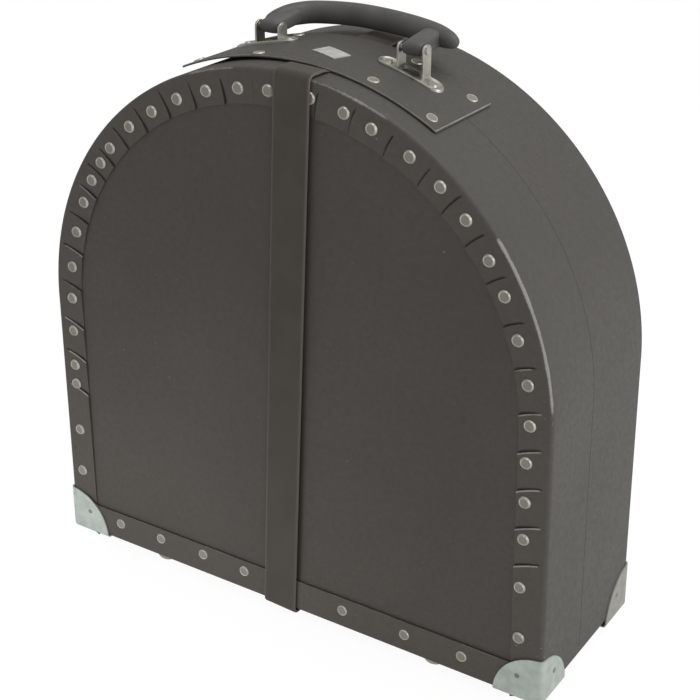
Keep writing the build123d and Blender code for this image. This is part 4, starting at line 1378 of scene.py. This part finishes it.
class CASE_OT_handle(bpy.types.Operator):
    """Make the grip and finish the handle plate and its mountings"""

    bl_idname = "drum_case.handle"
    bl_label = "Handle"

    def execute(self, context):
        place(make_grip("moulded_grip", case_material("grip_black")), "grip", "grip_black", "grip")
        plate = make_plate("bent_plate", plate_outline(), case_material("fibre_band"), 0.35)
        place(plate, "lid", "fibre_band", "handle_plate")
        metal = case_material("fitting_nickel")
        for side, word in ((-1, "left"), (1, "right")):
            mount = make_mount(f"mounting_{word}", HANDLE_X + side * MOUNT_X, metal)
            place(mount, "lid", "nickel", f"handle_mount_{word}")
        dress("handle_pins", metal)
        seats = plate_seats(PLATE_RIVETS, PLATE_THICKNESS)
        rivets = rivets_on("plate_rivets", seats, case_material("rivet_nickel"), 5, PLATE_RIVET)
        place(rivets, "lid", "nickel", "handle_plate_rivets")
        across = [HANDLE_X + a * MOUNT_X + b * MOUNT_RIVET_REACH for a in (-1, 1) for b in (-1, 1)]
        seats = plate_seats([(x, MOUNT_Y - MIDDLE_Y) for x in across], PLATE_THICKNESS + MOUNT_FLOOR)
        rivets = rivets_on("mounting_rivets", seats, metal, 6, MOUNT_RIVET)
        place(rivets, "lid", "nickel", "handle_mount_rivets")
        place(make_label("blank_label", case_material("label_blank")), "lid", "label", "name_plate")
        return {"FINISHED"}


class CASE_OT_metalwork(bpy.types.Operator):
    """Finish the pressed corners, nails, glides and buckle"""

    bl_idname = "drum_case.metalwork"
    bl_label = "Metalwork"

    def execute(self, context):
        metal, grey = case_material("fitting_nickel"), case_material("nail_grey_shaded")
        turns = [math.radians(d) for d in range(5, 90, 7)]
        dome = [(GLIDE_RADIUS, -0.2)] + [(GLIDE_RADIUS * math.cos(a), GLIDE_DOME * math.sin(a)) for a in turns]
        for half, mirror in HALVES:
            finish = case_material("corner_aged" if mirror else "corner_zinc")
            for side, word in ((1, "right"), (-1, "left")):
                cap = make_cap(f"{half}_cap_{word}", mirror, side, finish)
                place(cap, half, "zinc", f"{half}_corner_{word}")
            # The nails are drawn darker than the caps as painted shade.
            nails = lathe(NAIL_PROFILE, nail_spots(mirror), f"{half}_cap_nails", grey, 16)
            place(nails, half, "nickel", f"{half}_corner_nails")
            face_y, way = face_and_way(mirror)
            y = face_y + way * GLIDE_FROM_FACE
            spots = [((x, y, FLOOR_GAP), (0.0, 0.0, -1.0)) for x in (-GLIDE_X, GLIDE_X)]
            place(lathe(dome, spots, f"{half}_domed_glides", metal, 32), half, "nickel", f"{half}_glides")
        for node in ("buckle_frame", "buckle_roller", "buckle_prong"):
            dress(node, metal)
        return {"FINISHED"}


class CASE_OT_stage(bpy.types.Operator):
    """Set the floor, the lamps and the photograph's camera"""

    bl_idname = "drum_case.stage"
    bl_label = "Stage"

    def execute(self, context):
        scene = context.scene
        scene.view_settings.view_transform = "Standard"
        light_world(scene)
        bpy.ops.mesh.primitive_plane_add(size=16.0)
        floor = context.object
        floor.name = "floor"
        floor.data.materials.append(floor_material())
        for lamp in LAMPS:
            add_lamp(scene, *lamp)
        add_camera(scene)
        return {"FINISHED"}


class CASE_PT_panel(bpy.types.Panel):
    """Lists the case's settings and pieces"""

    bl_idname = "CASE_PT_panel"
    bl_label = "Snare drum case"
    bl_space_type = "VIEW_3D"
    bl_region_type = "UI"
    bl_category = "Drum case"

    def draw(self, context):
        for key in CaseSettings.__annotations__:
            self.layout.prop(context.scene.case_settings, key)
        for operator in OPERATORS:
            self.layout.operator(operator.bl_idname)


OPERATORS = (
    CASE_OT_shells,
    CASE_OT_tabs,
    CASE_OT_rivets,
    CASE_OT_straps,
    CASE_OT_handle,
    CASE_OT_metalwork,
    CASE_OT_stage,
)
CLASSES = (CaseSettings, *OPERATORS, CASE_PT_panel)


def register():
    """Adds the classes and the scene's settings."""
    for cls in CLASSES:
        bpy.utils.register_class(cls)
    bpy.types.Scene.case_settings = PointerProperty(type=CaseSettings)


def unregister():
    """Takes the classes and the scene's settings away."""
    del bpy.types.Scene.case_settings
    for cls in reversed(CLASSES):
        bpy.utils.unregister_class(cls)


def main():
    """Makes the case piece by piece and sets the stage."""
    register()
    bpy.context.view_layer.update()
    bpy.ops.drum_case.shells()
    bpy.ops.drum_case.tabs()
    bpy.ops.drum_case.rivets()
    bpy.ops.drum_case.straps()
    bpy.ops.drum_case.handle()
    bpy.ops.drum_case.metalwork()
    bpy.ops.drum_case.stage()


if __name__ == "__main__":
    main()
